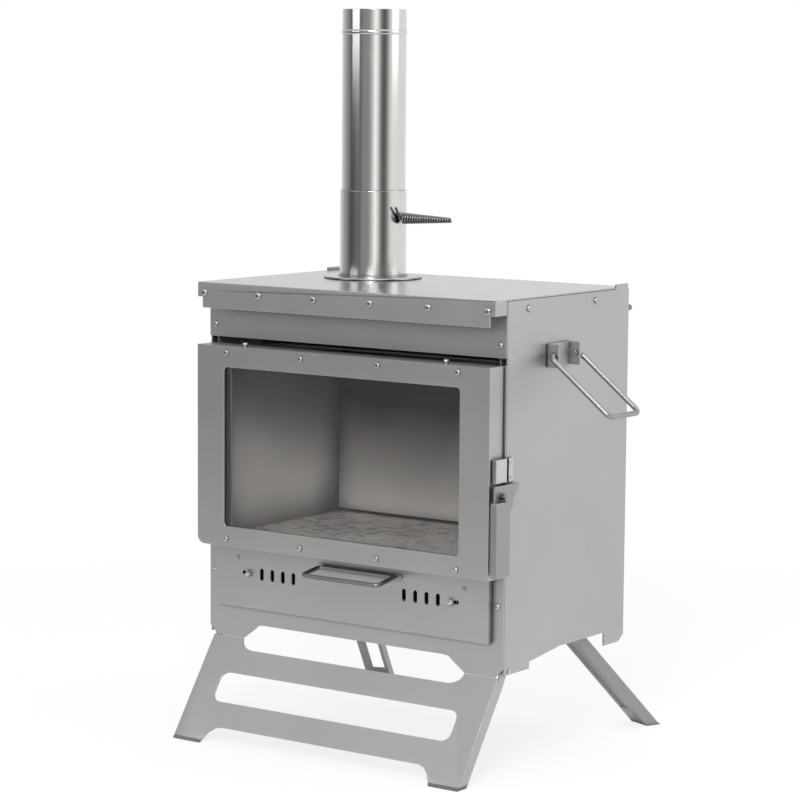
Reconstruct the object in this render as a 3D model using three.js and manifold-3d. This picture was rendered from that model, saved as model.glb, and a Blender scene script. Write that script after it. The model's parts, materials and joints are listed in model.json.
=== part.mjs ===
// Tent wood stove: a sheet-steel firebox on folding legs, with a glazed door, an ash drawer,
// sliding air shutters, bail handles and a two-piece flue with a damper.
// Millimetres. +Z up, +X to the right of the door, -Y towards whoever faces the door.
// The origin is on the floor, under the middle of the whole object, raised handle and spread
// legs included. Pieces are drawn about the firebox's middle, and add() moves them there.
import * as THREE from 'three';
import { mergeVertices } from 'three/addons/utils/BufferGeometryUtils.js';
import Module from 'manifold-3d';

const wasm = await Module();
wasm.setup();

// ---- general sizes
const seat = 0.3; // gap between pieces that touch
const sheet = 1.5; // steel sheet
const running = 0.6; // gap around pieces that slide or turn
const weld = 0.2; // overlap where plates are joined
const pinSides = 16;
const pipeSides = 48;

// ---- the origin's place from the firebox's middle
const originRight = 31.5;
const originBack = 6;

// ---- firebox
const bodyWidth = 350;
const bodyDepth = 212;
const legHeight = 94; // floor to the front hinge line
const apronHeight = 32; // hinge line to the drawer's lower edge
const drawerHeight = 61;
const doorDrawerGap = 1;
const doorHeight = 196.5;
const airSlot = 6.5; // open slot above the door
const hoodHeight = 54; // slot to the lid's top
const skirtRise = 15.6; // side panel's lower edge above the hinge line
const tabRise = 2.5; // front tab's lower edge above the hinge line
const frontTabLength = 44;
const rearTabLength = 36;
const tabSlope = 53; // run of the edge that rises behind the front tab
const tabCorner = 9;
const earLength = 22; // rear ear that rises beside the lid
const earRise = 3;
const earInset = 1.5;
const apronCorner = 9;

// ---- lid
const lidOverhang = 19;
const lidBackInset = 2;
const lidFlange = 25;
const lidReturn = 14.5; // height of the full-width part of the flange
const lidNotch = 6;

// ---- openings in the front
const mouthJamb = 28; // front frame beside the fire mouth
const mouthSill = 16; // mouth's lower edge above the door's lower edge
const mouthHead = 16;
const drawerMouthJamb = 25;
const drawerMouthSill = 2.5;
const drawerMouthHead = 4;
const apronSlotTopInset = 62; // slot's upper corners from the firebox's sides
const apronSlotBaseInset = 43;
const apronSlotHeight = 14.8;
const apronSlotCorner = 6;

// ---- firebox linings
const linerGap = 6;
const linerFoot = 96; // lower edge of the linings above the hinge line
const linerHeight = 212;
const ledge = 12;
const grateRise = 3;
const grateSheet = 2;
const grateLongHole = 26;
const grateHoleWidth = 8;
const grateRows = 4;
const grateColumns = 7;
const baffleDrop = 24; // baffle below the linings' upper edge
const baffleFront = 70; // open throat in front of the baffle
const backLinerGap = 10;

// ---- door
const doorSideMargin = 2.5; // firebox beyond the door on each side
const doorDepth = 22.1;
const doorGap = 0.6;
const windowStile = 33.5; // door beside the window
const windowSill = 20;
const windowHead = 20.5;
const windowCorner = 4;
const doorCorner = 8;
const gasketThickness = 1;
const gasketWidth = 6;
const glassThickness = 3;
const glassLap = 7;
const retainerWidth = 17.5;
const retainerSheet = 1.5;
const hingeLip = 6.5; // short wall on the hinge side, clear of the hinge tabs
const hingeInset = 5.5;
const hingeBack = 7.6; // hinge axis in front of the firebox
const hingePinRadius = 1.8;
const hingeTabHeight = 3;
const hingeTabEdge = 34;
const screwColumns = 4;
const screwEnd = 2.5; // outer screws inside the window's ends
const screwShank = 1.4;
const screwAbove = 14; // upper screws above the window
const screwBelow = 12.5;
const screwRadius = 2.6;
const screwHeight = 1.2;
const topStudInset = 54; // from the door's ends
const topStudBack = 7.5; // behind the door's front face
const topStudHeight = 4;

// ---- latch
const latchBlockTop = 112; // above the door's lower edge
const latchBlockFront = 19; // in front of the firebox
const latchBlockHeight = 22;
const latchBlockDepth = 18;
const latchBlockWidth = 5;
const keeperDepth = 7.5;
const keeperSetback = 1.6;
const latchPinRadius = 2.5;
const latchPinDrop = 12; // pivot below the block
const latchPinForward = 12; // pivot in front of the firebox
const leverThickness = 2;
const gripLength = 70;
const gripWidth = 22;
const gripThickness = 7;
const gripForward = 16; // grip's front edge ahead of the pivot
const hookReach = 28;
const hookBack = 12; // hook's square end ahead of the pivot
const hookTop = 10.3; // hook's upper edge above the pivot
const hookRoot = 13;
const hookTip = 3;
const hookTaper = 10;
const leverOut = 5.6; // lever's inner face outside the door

// ---- ash drawer
const drawerFrontMargin = 12.7; // firebox beyond the drawer front on each side
const drawerFrontDepth = 5.4;
const drawerFrontGap = 0.4;
const traySideGap = 5;
const trayWall = 46;
const trayFrontWall = 20;
const trayBackGap = 16;
const drawerTravel = 150;
const ventCount = 4;
const ventPitch = 13;
const ventWidth = 4.6;
const ventHeight = 12;
const ventEnd = 57.3; // outermost vent from the drawer front's end
const ventRise = 35; // vents above the drawer's lower edge
const shutterSheet = 1;
const shutterMargin = 5;
const shutterTravel = 6.2;
const knobBeyondVents = 15.5;
const knobRadius = 3.4;
const knobLength = 4;
const knobNeck = 1.5;
const pullMiddle = 13.5; // right of the drawer's middle
const pullSpan = 89;
const pullReach = 32;
const pullDrop = 4; // front bar below the rear bar
const pullWire = 2.1;
const pullRise = 51.5;
const pullFootWidth = 14;
const pullFootHeight = 9;
const pullBend = 9;
const drawerRivetInset = 27.8;
const drawerRivetRise = 49;
const drawerRivetRadius = 1.8;

// ---- legs
const frontLegSpread = 64.3; // foot in front of the hinge line
const legSideGap = 4; // front leg to the side panels
const frontFlange = 12.5;
const frontAxisBack = 10;
const frontAxisUp = 5.6;
const frontEar = 7;
const legPinRadius = 2.4;
const frontFootWidth = 30;
const frontArchTop = 94.5;
const frontArchCorner = 22;
const frontSlotTop = 37.4;
const frontSlotBase = 68.8;
const frontSlotInset = 28.5; // slot's ends from the leg's sides
const frontSlotRadius = 9;
const hingeSlotDrop = 12;
const hingeSlotSlope = 16;
const rearAxisInset = 46.6; // from the firebox's side
const rearAxisFromBack = 28.8;
const rearAxisUp = 10;
const rearPlanAngle = 21.4;
const rearTilt = 43.5;
const rearLegWidth = 26;
const rearFlange = 11.5;
const rearFaceOffset = 5.2; // face in front of the rear hinge axis
const rearLegTop = 2;
const rearEarRadius = 5.2;
const rearHoleEdge = 9.5;
const rearHoleInner = 3.5;
const rearHoleFoot = 24;
const rearHoleHead = 16;
const rearFootLength = 16;
const rearEarWidth = 14;

// ---- side handles
const handleFromFront = 86; // middle of the handle behind the firebox front
const handleHeight = 295; // pivot above the hinge line
const handleBracketLength = 38;
const handleBracketHeight = 22;
const handleBracketDepth = 13;
const handlePivotOut = 8;
const handleWire = 2.6;
const handleSpan = 52;
const handleArm = 84;
const rightHandleAngle = 38; // below the horizontal, as left in use
const leftHandleAngle = 88; // hanging against the side
const handleStub = 10;
const handleBend = 7;

// ---- flue
const flueX = -78;
const flueFromFront = 137;
const pipeWall = 1;
const sleeveRadius = 33.2;
const sleeveLength = 85;
const pipeLength = 192;
const pipeInsert = 14;
const beadDrop = 22.5;
const beadHeight = 4.6;
const beadRise = 0.9;
const collarRadius = 49;
const collarSheet = 2;
const collarWall = 1.4;
const collarHeight = 3.2;
const collarLedge = 2.4;
const damperRise = 58; // damper axis above the sleeve's foot
const damperRodRadius = 2;
const damperPlateGap = 1.6;
const damperStandOff = 3; // handle's start outside the sleeve
const damperHandle = 60;
const damperCoilRadius = 4.6;
const damperCoilTip = 0.8;
const damperCoilTurns = 5;
const damperWire = 1.3;
const damperTailOut = 12; // wire's bent end, from the rod's axis
const damperTailUp = 11;

// ---- small fasteners
const rivetRadius = 3;
const rivetHeight = 1.4;
const rivetSink = 0.3;
const rivetCount = 6;
const rivetEdge = 8.5; // outer rivets from the lid's sides
const rivetDrop = 10;
const sideRivetNear = 36;
const sideRivetFromBack = 60;
const frontScrewInset = 7;
const frontScrewRise = 12;
const rearStudRadius = 3;
const rearStudLength = 16;
const rearStudInset = 9;
const rearStudDrop = 22;
const belowFloor = 80; // depth of the block that trims the feet at the floor

// ---- derived levels
const zHinge = legHeight;
const zDrawer = zHinge + apronHeight;
const zDoor = zDrawer + drawerHeight + doorDrawerGap;
const zDoorTop = zDoor + doorHeight;
const zHood = zDoorTop + airSlot;
const zLid = zHood + hoodHeight;
const zUnderLid = zLid - sheet - seat;
const zFloor = zDrawer + drawerMouthSill - sheet;
const yFront = -bodyDepth / 2;
const yBack = bodyDepth / 2;
const halfWidth = bodyWidth / 2;
const innerHalf = halfWidth - sheet - seat;
const doorHalf = halfWidth - doorSideMargin;
const windowHalf = doorHalf - windowStile;
const mouthHalf = halfWidth - mouthJamb;
const drawerMouthHalf = halfWidth - drawerMouthJamb;
const drawerHalf = halfWidth - drawerFrontMargin;
const trayHalf = drawerMouthHalf - traySideGap;
const ventInner = drawerHalf - ventEnd - (ventCount - 1) * ventPitch;
const knobX = drawerHalf - ventEnd + knobBeyondVents;
const legHalf = innerHalf + seat - legSideGap;
const apronSlotHalf = halfWidth - apronSlotBaseInset;
const flueY = yFront + flueFromFront;

// ---- shape helpers
function outline(points, holes = []) {
  const shape = new THREE.Shape(points.map(([a, b]) => new THREE.Vector2(a, b)));
  for (const hole of holes) {
    shape.holes.push(new THREE.Path(hole.map(([a, b]) => new THREE.Vector2(a, b))));
  }
  return shape;
}

const facing = {
  front: new THREE.Matrix4().makeBasis(
    new THREE.Vector3(1, 0, 0), new THREE.Vector3(0, 0, 1), new THREE.Vector3(0, -1, 0)),
  side: new THREE.Matrix4().makeBasis(
    new THREE.Vector3(0, 1, 0), new THREE.Vector3(0, 0, 1), new THREE.Vector3(1, 0, 0)),
  top: new THREE.Matrix4(),
};

// A flat plate: "front" plates are drawn in X and Z, "side" in Y and Z, "top" in X and Y.
// It starts at the given place on its own axis and grows towards the positive end.
function plate(kind, points, start, thickness, holes = []) {
  const flat = new THREE.ExtrudeGeometry(outline(points, holes), { depth: thickness, bevelEnabled: false });
  flat.applyMatrix4(facing[kind]);
  if (kind === 'front') flat.translate(0, start + thickness, 0);
  if (kind === 'side') flat.translate(start, 0, 0);
  if (kind === 'top') flat.translate(0, 0, start);
  return flat;
}

function rect(a0, a1, b0, b1) {
  return [[a0, b0], [a1, b0], [a1, b1], [a0, b1]];
}

// The same rectangle wound the other way, for a hole.
function rectHole(a0, a1, b0, b1) {
  return [[a0, b0], [a0, b1], [a1, b1], [a1, b0]];
}

// A quarter of an ellipse: it leaves one point along the second axis and meets the next along the first.
function curve(from, to, steps = 5) {
  const points = [];
  for (let i = 0; i <= steps; i += 1) {
    const angle = (Math.PI / 2) * (i / steps);
    points.push([to[0] + (from[0] - to[0]) * Math.cos(angle), from[1] + (to[1] - from[1]) * Math.sin(angle)]);
  }
  return points;
}

function roundRect(a0, a1, b0, b1, radius, steps = 4) {
  const points = [];
  const corners = [[a1 - radius, b0 + radius, -90], [a1 - radius, b1 - radius, 0],
    [a0 + radius, b1 - radius, 90], [a0 + radius, b0 + radius, 180]];
  for (const [a, b, start] of corners) {
    for (let i = 0; i <= steps; i += 1) {
      const angle = THREE.MathUtils.degToRad(start + (90 * i) / steps);
      points.push([a + radius * Math.cos(angle), b + radius * Math.sin(angle)]);
    }
  }
  return points;
}

function box(x0, x1, y0, y1, z0, z1) {
  const geometry = new THREE.BoxGeometry(x1 - x0, y1 - y0, z1 - z0);
  geometry.translate((x0 + x1) / 2, (y0 + y1) / 2, (z0 + z1) / 2);
  return geometry;
}

// A rod along one axis, from one end to the other, at a place on the two other axes.
function rod(axis, radius, from, to, at, sides = pinSides) {
  const geometry = new THREE.CylinderGeometry(radius, radius, to - from, sides);
  const middle = (from + to) / 2;
  if (axis === 'x') {
    geometry.rotateZ(-Math.PI / 2);
    geometry.translate(middle, at[0], at[1]);
  }
  if (axis === 'y') geometry.translate(at[0], middle, at[1]);
  if (axis === 'z') {
    geometry.rotateX(Math.PI / 2);
    geometry.translate(at[0], at[1], middle);
  }
  return geometry;
}

// A turned ring or tube about the vertical: profile points are radius and height.
function turned(profile, sides = pipeSides) {
  const closed = [...profile, profile[0]].map(([r, z]) => new THREE.Vector2(r, z));
  const geometry = new THREE.LatheGeometry(closed, sides);
  geometry.rotateX(Math.PI / 2);
  return geometry;
}

// A low domed head that stands on a face and points along the given direction.
function domedHead(radius, height, place, direction) {
  const profile = [[0, 0], [radius, 0], [radius, height * 0.35], [radius * 0.72, height * 0.85], [0, height]];
  const geometry = new THREE.LatheGeometry(profile.map(([r, z]) => new THREE.Vector2(r, z)), 12);
  const turn = new THREE.Quaternion().setFromUnitVectors(new THREE.Vector3(0, 1, 0), direction);
  geometry.applyQuaternion(turn);
  geometry.translate(place[0], place[1], place[2]);
  return geometry;
}

// Round wire along straight runs with rounded corners.
function wire(points, radius, bend, sides = 8, cornerSteps = 5) {
  const path = [];
  const corners = points.map((p) => new THREE.Vector3(...p));
  path.push(corners[0]);
  for (let i = 1; i < corners.length - 1; i += 1) {
    const into = corners[i].clone().sub(corners[i - 1]).normalize();
    const out = corners[i + 1].clone().sub(corners[i]).normalize();
    const start = corners[i].clone().addScaledVector(into, -bend);
    const end = corners[i].clone().addScaledVector(out, bend);
    const curve = new THREE.QuadraticBezierCurve3(start, corners[i], end);
    path.push(...curve.getPoints(cornerSteps));
  }
  path.push(corners[corners.length - 1]);
  return sweep(path, radius, sides);
}

// A closed tube through every point, with flat ends.
function sweep(path, radius, sides) {
  const lengths = [0];
  for (let i = 1; i < path.length; i += 1) lengths.push(lengths[i - 1] + path[i].distanceTo(path[i - 1]));
  const total = lengths[lengths.length - 1];
  class PointPath extends THREE.Curve {
    getPoint(t, target = new THREE.Vector3()) {
      const index = Math.min(path.length - 2, Math.floor(t * (path.length - 1) + 1e-9));
      const share = t * (path.length - 1) - index;
      return target.lerpVectors(path[index], path[index + 1], share);
    }

    getPointAt(t, target) {
      return this.getPoint(t, target);
    }

    getTangentAt(t, target = new THREE.Vector3()) {
      const step = 1 / (path.length - 1);
      const a = this.getPoint(Math.max(0, t - step));
      const b = this.getPoint(Math.min(1, t + step));
      return target.subVectors(b, a).normalize();
    }

    getLength() {
      return total;
    }
  }
  const section = new THREE.Shape();
  for (let i = 0; i < sides; i += 1) {
    const angle = (2 * Math.PI * i) / sides;
    if (i === 0) section.moveTo(radius * Math.cos(angle), radius * Math.sin(angle));
    else section.lineTo(radius * Math.cos(angle), radius * Math.sin(angle));
  }
  section.closePath();
  return new THREE.ExtrudeGeometry(section, { steps: path.length - 1, extrudePath: new PointPath() });
}

// ---- boolean joins and cuts
function solid(geometry) {
  const bare = geometry.clone();
  bare.deleteAttribute('normal');
  bare.deleteAttribute('uv');
  const merged = mergeVertices(bare, 1e-4);
  return new wasm.Manifold(new wasm.Mesh({
    numProp: 3,
    vertProperties: new Float32Array(merged.attributes.position.array),
    triVerts: new Uint32Array(merged.index.array),
  }));
}

function joined(list) {
  return list.map((item) => (item.isBufferGeometry ? solid(item) : item)).reduce((a, b) => a.add(b));
}

function cut(base, tools) {
  const start = base.isBufferGeometry ? solid(base) : base;
  return tools.reduce((rest, tool) => rest.subtract(tool.isBufferGeometry ? solid(tool) : tool), start);
}

function shell(body) {
  const { vertProperties, triVerts } = body.getMesh();
  const geometry = new THREE.BufferGeometry();
  geometry.setAttribute('position', new THREE.BufferAttribute(new Float32Array(vertProperties), 3));
  geometry.setIndex(new THREE.BufferAttribute(new Uint32Array(triVerts), 1));
  geometry.computeVertexNormals();
  return geometry;
}

// ---- materials
const finishes = {
  brushed: { color: 0xa9a8a6, roughness: 0.42, metalness: 1 },
  bright: { color: 0xcfcdca, roughness: 0.2, metalness: 1 },
  inside: { color: 0x8a8682, roughness: 0.55, metalness: 1 },
  sooty: { color: 0x3b3836, roughness: 0.8, metalness: 0.6 },
  dark: { color: 0x2c2b2a, roughness: 0.5, metalness: 0.8 },
  pane: { color: 0x2a2422, roughness: 0.05, metalness: 0, transparent: true, opacity: 0.35 },
  seal: { color: 0x4a4744, roughness: 0.95, metalness: 0 },
};

const stove = new THREE.Group();

function add(name, shape, finish, parent = stove) {
  const geometry = shape.isBufferGeometry ? shape : shell(shape);
  geometry.translate(-originRight, -originBack, 0);
  const mesh = new THREE.Mesh(geometry, new THREE.MeshStandardMaterial(finishes[finish]));
  mesh.name = name;
  parent.add(mesh);
  return mesh;
}

const towardFront = new THREE.Vector3(0, -1, 0);
const towardUp = new THREE.Vector3(0, 0, 1);

// ---- side panels: one plate each, with a front tab, a rear tab and an ear beside the lid
const ySideFront = yFront + sheet + seat;
const zTab = zHinge + tabRise;
const zSkirt = zHinge + skirtRise;
const sideOutline = [
  [ySideFront, zTab],
  [yFront + frontTabLength, zTab],
  [yFront + frontTabLength, zTab + (zSkirt - zTab) * 0.5],
  [yFront + frontTabLength + tabSlope, zSkirt],
  [yBack - rearTabLength, zSkirt],
  [yBack - rearTabLength, zTab],
  [yBack - tabCorner, zTab],
  [yBack, zTab + tabCorner * 0.7],
  [yBack, zUnderLid],
  [yBack - earInset, zUnderLid],
  [yBack - earInset, zLid + earRise],
  [yBack - earInset - earLength, zLid + earRise],
  [yBack - earInset - earLength, zUnderLid],
  [ySideFront, zUnderLid],
];
const yLegAxis = yFront + frontAxisBack;
const zLegAxis = zHinge + frontAxisUp;
const yHandle = yFront + handleFromFront;
const zHandle = zHinge + handleHeight;
for (const [name, start] of [['side_panel_left', -halfWidth], ['side_panel_right', halfWidth - sheet]]) {
  const side = start < 0 ? -1 : 1;
  const pinHole = rod('x', legPinRadius + seat, start - 1, start + sheet + 1, [yLegAxis, zLegAxis]);
  const heads = [yFront + sideRivetNear, yBack - sideRivetFromBack].map((y) => (
    domedHead(rivetRadius, rivetHeight, [side * (halfWidth - rivetSink), y, zLid - rivetDrop],
      new THREE.Vector3(side, 0, 0))));
  add(name, joined([cut(plate('side', sideOutline, start, sheet), [pinHole]), ...heads]), 'brushed');
}

// ---- back, floor and front plates
const backPlate = plate('front', rect(-innerHalf, innerHalf, zSkirt, zUnderLid), yBack - sheet, sheet);
add('back_panel', backPlate, 'brushed');
add('floor_panel',
  plate('top', rect(-innerHalf, innerHalf, ySideFront, yBack - sheet - seat), zFloor, sheet), 'brushed');

const slotTopHalf = halfWidth - apronSlotTopInset;
const slotEnd = [[apronSlotHalf, zHinge], ...curve(
  [slotTopHalf + apronSlotCorner / 2, zHinge + apronSlotHeight - apronSlotCorner / 2],
  [slotTopHalf - apronSlotCorner, zHinge + apronSlotHeight], 3)];
const frontOutline = [
  [-halfWidth + apronCorner, zHinge],
  ...slotEnd.map(([x, z]) => [-x, z]),
  ...slotEnd.toReversed(),
  [halfWidth - apronCorner, zHinge],
  [halfWidth, zHinge + apronCorner],
  [halfWidth, zDoorTop],
  [-halfWidth, zDoorTop],
  [-halfWidth, zHinge + apronCorner],
];
const drawerMouth = rectHole(-drawerMouthHalf, drawerMouthHalf,
  zDrawer + drawerMouthSill, zDrawer + drawerHeight - drawerMouthHead);
const fireMouth = rectHole(-mouthHalf, mouthHalf, zDoor + mouthSill, zDoorTop - mouthHead);
const frontHead = (side, z) => domedHead(screwRadius, screwHeight + rivetSink,
  [side * (halfWidth - frontScrewInset), yFront + rivetSink, z], towardFront);
const lowHeads = [-1, 1].map((side) => frontHead(side, zDrawer + ventRise));
const highHeads = [-1, 1].map((side) => frontHead(side, zHood + frontScrewRise));
add('front_frame',
  joined([plate('front', frontOutline, yFront, sheet, [drawerMouth, fireMouth]), ...lowHeads]), 'brushed');
const hoodPlate = plate('front', rect(-halfWidth, halfWidth, zHood, zUnderLid), yFront, sheet);
add('upper_front_panel', joined([hoodPlate, ...highHeads]), 'brushed');

// ---- lid: a plate with a deep front flange, short side returns and notches for the ears
const yLidFront = yFront - lidOverhang;
const yLidBack = yBack - lidBackInset;
const earNotchX = halfWidth - sheet - seat;
const flangeFoot = zLid - lidFlange;
const lidSheet = plate('top', rect(-halfWidth, halfWidth, yLidFront, yLidBack), zLid - sheet, sheet);
const flangeOutline = [
  [-halfWidth + lidNotch, flangeFoot],
  [halfWidth - lidNotch, flangeFoot],
  [halfWidth - lidNotch, zLid - lidReturn],
  [halfWidth, zLid - lidReturn],
  [halfWidth, zLid - weld],
  [-halfWidth, zLid - weld],
  [-halfWidth, zLid - lidReturn],
  [-halfWidth + lidNotch, zLid - lidReturn],
];
const flange = plate('front', flangeOutline, yLidFront, sheet);
const sideReturns = [-halfWidth, halfWidth - sheet].map((x) => (
  box(x, x + sheet, yLidFront + weld, yFront - seat, zLid - lidReturn, zLid - weld)));
const earNotches = [-1, 1].map((side) => {
  const inner = side * earNotchX;
  const outer = side * (halfWidth + 1);
  return box(Math.min(inner, outer), Math.max(inner, outer),
    yBack - earInset - earLength - seat, yLidBack + 1, zLid - sheet - 1, zLid + 1);
});
const lidBore = rod('z', sleeveRadius, zLid - sheet - 1, zLid + 1, [flueX, flueY], pipeSides);
const rivetRow = 2 * (halfWidth - rivetEdge);
const flangeHeads = Array.from({ length: rivetCount }, (_, i) => domedHead(rivetRadius, rivetHeight,
  [rivetRow * (i / (rivetCount - 1) - 0.5), yLidFront + rivetSink, zLid - rivetDrop], towardFront));
const lidPlate = cut(joined([lidSheet, flange, ...sideReturns]), [...earNotches, lidBore]);
add('lid', joined([lidPlate, ...flangeHeads]), 'bright');

// ---- firebox linings, grate and baffle
const linerX = halfWidth - sheet - linerGap;
const zLiner = zHinge + linerFoot;
const zLinerTop = zLiner + linerHeight;
const zBaffle = zLinerTop - baffleDrop;
const yLinerFront = ySideFront + seat;
const yBackLiner = yBack - sheet - backLinerGap;
for (const side of [-1, 1]) {
  const span = (near, far, y0, y1, z0, z1) => {
    const a = side * near;
    const b = side * far;
    return box(Math.min(a, b), Math.max(a, b), y0, y1, z0, z1);
  };
  const yEnd = yBack - sheet - seat;
  const pieces = [
    span(linerX - sheet, linerX, yLinerFront, yEnd, zLiner, zLinerTop),
    span(linerX - ledge, linerX, yLinerFront, yEnd, zLiner, zLiner + sheet),
    span(linerX - sheet, halfWidth - sheet - seat, yLinerFront, yEnd, zLinerTop - sheet, zLinerTop),
    span(linerX - sheet, halfWidth - sheet - seat, yLinerFront, yEnd, zLiner, zLiner + sheet),
    span(linerX - ledge, linerX, yFront + baffleFront, yEnd, zBaffle - sheet, zBaffle),
  ];
  add(side < 0 ? 'liner_left' : 'liner_right', joined(pieces), 'inside');
}
const coreHalf = linerX - sheet - running;
const zBackLiner = zLiner + sheet + grateRise + grateSheet;
const zBackLinerTop = zBaffle - sheet - running;
const backFold = (z) => box(-coreHalf + ledge, coreHalf - ledge,
  yBackLiner - sheet, yBack - sheet - seat, z, z + sheet);
const backLiner = joined([
  box(-coreHalf, coreHalf, yBackLiner - sheet, yBackLiner, zBackLiner, zBackLinerTop),
  backFold(zBackLiner),
  backFold(zBackLinerTop - sheet),
]);
add('back_liner', backLiner, 'inside');

const zGrate = zLiner + sheet + seat;
const grateFront = yLinerFront + running;
const grateBack = yBack - sheet - running;
const grateHoles = [];
const holePitchX = (2 * coreHalf - 2 * ledge) / grateColumns;
const holePitchY = (grateBack - grateFront - 2 * ledge) / grateRows;
for (let row = 0; row < grateRows; row += 1) {
  for (let column = 0; column < grateColumns; column += 1) {
    const x = -coreHalf + ledge + holePitchX * (column + 0.5);
    const y = grateFront + ledge + holePitchY * (row + 0.5);
    const long = (row + column) % 2 === 0;
    const halfLength = long ? grateLongHole / 2 : grateHoleWidth / 2 + 0.01;
    const hole = roundRect(x - halfLength, x + halfLength,
      y - grateHoleWidth / 2 - 0.01, y + grateHoleWidth / 2 + 0.01, grateHoleWidth / 2, 3);
    grateHoles.push(hole.reverse());
  }
}
const grateEdge = rect(-coreHalf, coreHalf, grateFront, grateBack);
const baffleEdge = rect(-coreHalf, coreHalf, yFront + baffleFront, grateBack);
add('grate', plate('top', grateEdge, zGrate, grateSheet, grateHoles), 'sooty');
add('baffle', plate('top', baffleEdge, zBaffle + seat, grateSheet), 'sooty');

// ---- flue collar on the lid
const zCollar = zLid + seat;
const collarInner = sleeveRadius + seat;
const collar = turned([
  [sleeveRadius - collarLedge, zCollar],
  [collarRadius, zCollar],
  [collarRadius, zCollar + collarSheet],
  [collarInner + collarWall, zCollar + collarSheet],
  [collarInner + collarWall, zCollar + collarHeight],
  [collarInner, zCollar + collarHeight],
  [collarInner, zCollar + collarSheet],
  [sleeveRadius - collarLedge, zCollar + collarSheet],
]);
collar.translate(flueX, flueY, 0);
add('flue_collar', collar, 'bright');

// ---- flue: a lower sleeve with the damper, and the pipe that plugs into it
const zSleeve = zCollar + collarSheet + seat;
const zSleeveTop = zSleeve + sleeveLength;
const stopHeight = 2;
const pipeFoot = zSleeveTop - pipeInsert;
const sleeve = turned([
  [sleeveRadius - pipeWall, zSleeve],
  [sleeveRadius, zSleeve],
  [sleeveRadius, zSleeveTop],
  [sleeveRadius - pipeWall, zSleeveTop],
  [sleeveRadius - pipeWall, pipeFoot - seat],
  [sleeveRadius - 2 * pipeWall, pipeFoot - seat],
  [sleeveRadius - 2 * pipeWall, pipeFoot - seat - stopHeight],
  [sleeveRadius - pipeWall, pipeFoot - seat - stopHeight],
]);
sleeve.translate(flueX, flueY, 0);
const zDamper = zSleeve + damperRise;
const rodHole = rod('x', damperRodRadius + seat,
  flueX - sleeveRadius - 5, flueX + sleeveRadius + 5, [flueY, zDamper]);
add('flue_sleeve', cut(sleeve, [rodHole]), 'bright');

const pipeOuter = sleeveRadius - pipeWall - seat;
const zPipeTop = pipeFoot + pipeLength;
const zBead = zPipeTop - beadDrop;
const pipe = turned([
  [pipeOuter - pipeWall, pipeFoot],
  [pipeOuter, pipeFoot],
  [pipeOuter, zBead - beadHeight / 2],
  [pipeOuter + beadRise, zBead - beadHeight / 4],
  [pipeOuter + beadRise, zBead + beadHeight / 4],
  [pipeOuter, zBead + beadHeight / 2],
  [pipeOuter, zPipeTop],
  [pipeOuter - pipeWall, zPipeTop],
]);
pipe.translate(flueX, flueY, 0);
add('flue_pipe', pipe, 'bright');

// ---- damper: a disc welded to its rod, and a tapered wire handle wound on the rod's end,
// with its first turn bent up beside the sleeve
const damperRadius = sleeveRadius - pipeWall - damperPlateGap;
const rodStart = flueX - sleeveRadius - damperStandOff;
const coilStart = flueX + sleeveRadius + damperStandOff;
const coilInner = damperRodRadius + damperWire + seat;
const coilLength = damperHandle - damperRodRadius;
const coilNarrowing = damperCoilRadius - damperCoilTip;
const rodEnd = coilStart + (coilLength * (damperCoilRadius - coilInner)) / coilNarrowing;
add('damper_plate', joined([
  rod('y', damperRadius, flueY - sheet / 2, flueY + sheet / 2, [flueX, zDamper], 40),
  rod('x', damperRodRadius, rodStart, rodEnd, [flueY, zDamper]),
]), 'bright');
const coilSteps = damperCoilTurns * 12;
const coilPath = [
  new THREE.Vector3(coilStart, flueY - damperTailOut, zDamper + damperTailUp),
  new THREE.Vector3(coilStart, flueY - damperCoilRadius - damperWire, zDamper + damperCoilRadius / 2),
];
for (let i = 0; i <= coilSteps; i += 1) {
  const share = i / coilSteps;
  const angle = Math.PI * (1 + 2 * damperCoilTurns * share);
  const reach = damperCoilRadius - coilNarrowing * share;
  const x = coilStart + coilLength * share;
  coilPath.push(new THREE.Vector3(x, flueY + reach * Math.cos(angle), zDamper + reach * Math.sin(angle)));
}
add('damper_handle', solid(sweep(coilPath, damperWire, 6)), 'dark');

// ---- door: a folded tray whose hinge side is a short lip, so that the hinge tabs can swing
const yDoorBack = yFront - doorGap;
const yDoorFront = yDoorBack - doorDepth;
const zWindow = zDoor + windowSill;
const zWindowTop = zDoorTop - windowHead;
function doorOutline(inset) {
  const left = -doorHalf + inset;
  const right = doorHalf - inset;
  const foot = zDoor + inset;
  const head = zDoorTop - inset;
  const radius = doorCorner - inset;
  const points = [[right, foot], [right, head], [left, head]];
  for (let i = 0; i <= 5; i += 1) {
    const angle = Math.PI + (Math.PI / 2) * (i / 5);
    points.push([left + radius + radius * Math.cos(angle), foot + radius + radius * Math.sin(angle)]);
  }
  return points;
}
const windowHole = (grow) => roundRect(-windowHalf - grow, windowHalf + grow,
  zWindow - grow, zWindowTop + grow, windowCorner + grow);
const screwSpots = [];
for (let i = 0; i < screwColumns; i += 1) {
  const x = 2 * (windowHalf - screwEnd) * (i / (screwColumns - 1) - 0.5);
  screwSpots.push([x, zWindowTop + screwAbove]);
  screwSpots.push([x, zWindow - screwBelow]);
}
const xDoorPin = -doorHalf + hingeInset;
const yDoorPin = yFront - hingeBack;
const swingCorner = [
  [-doorHalf - 1, yDoorBack + 1],
  [-doorHalf - 1, yDoorBack - hingeInset - 1.5],
  [xDoorPin + 1.5, yDoorBack + 1],
];
const screwHoles = screwSpots.map(([x, z]) => (
  rod('y', screwShank + seat, yDoorFront - 1, yDoorFront + sheet + 1, [x, z], 10)));
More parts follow.
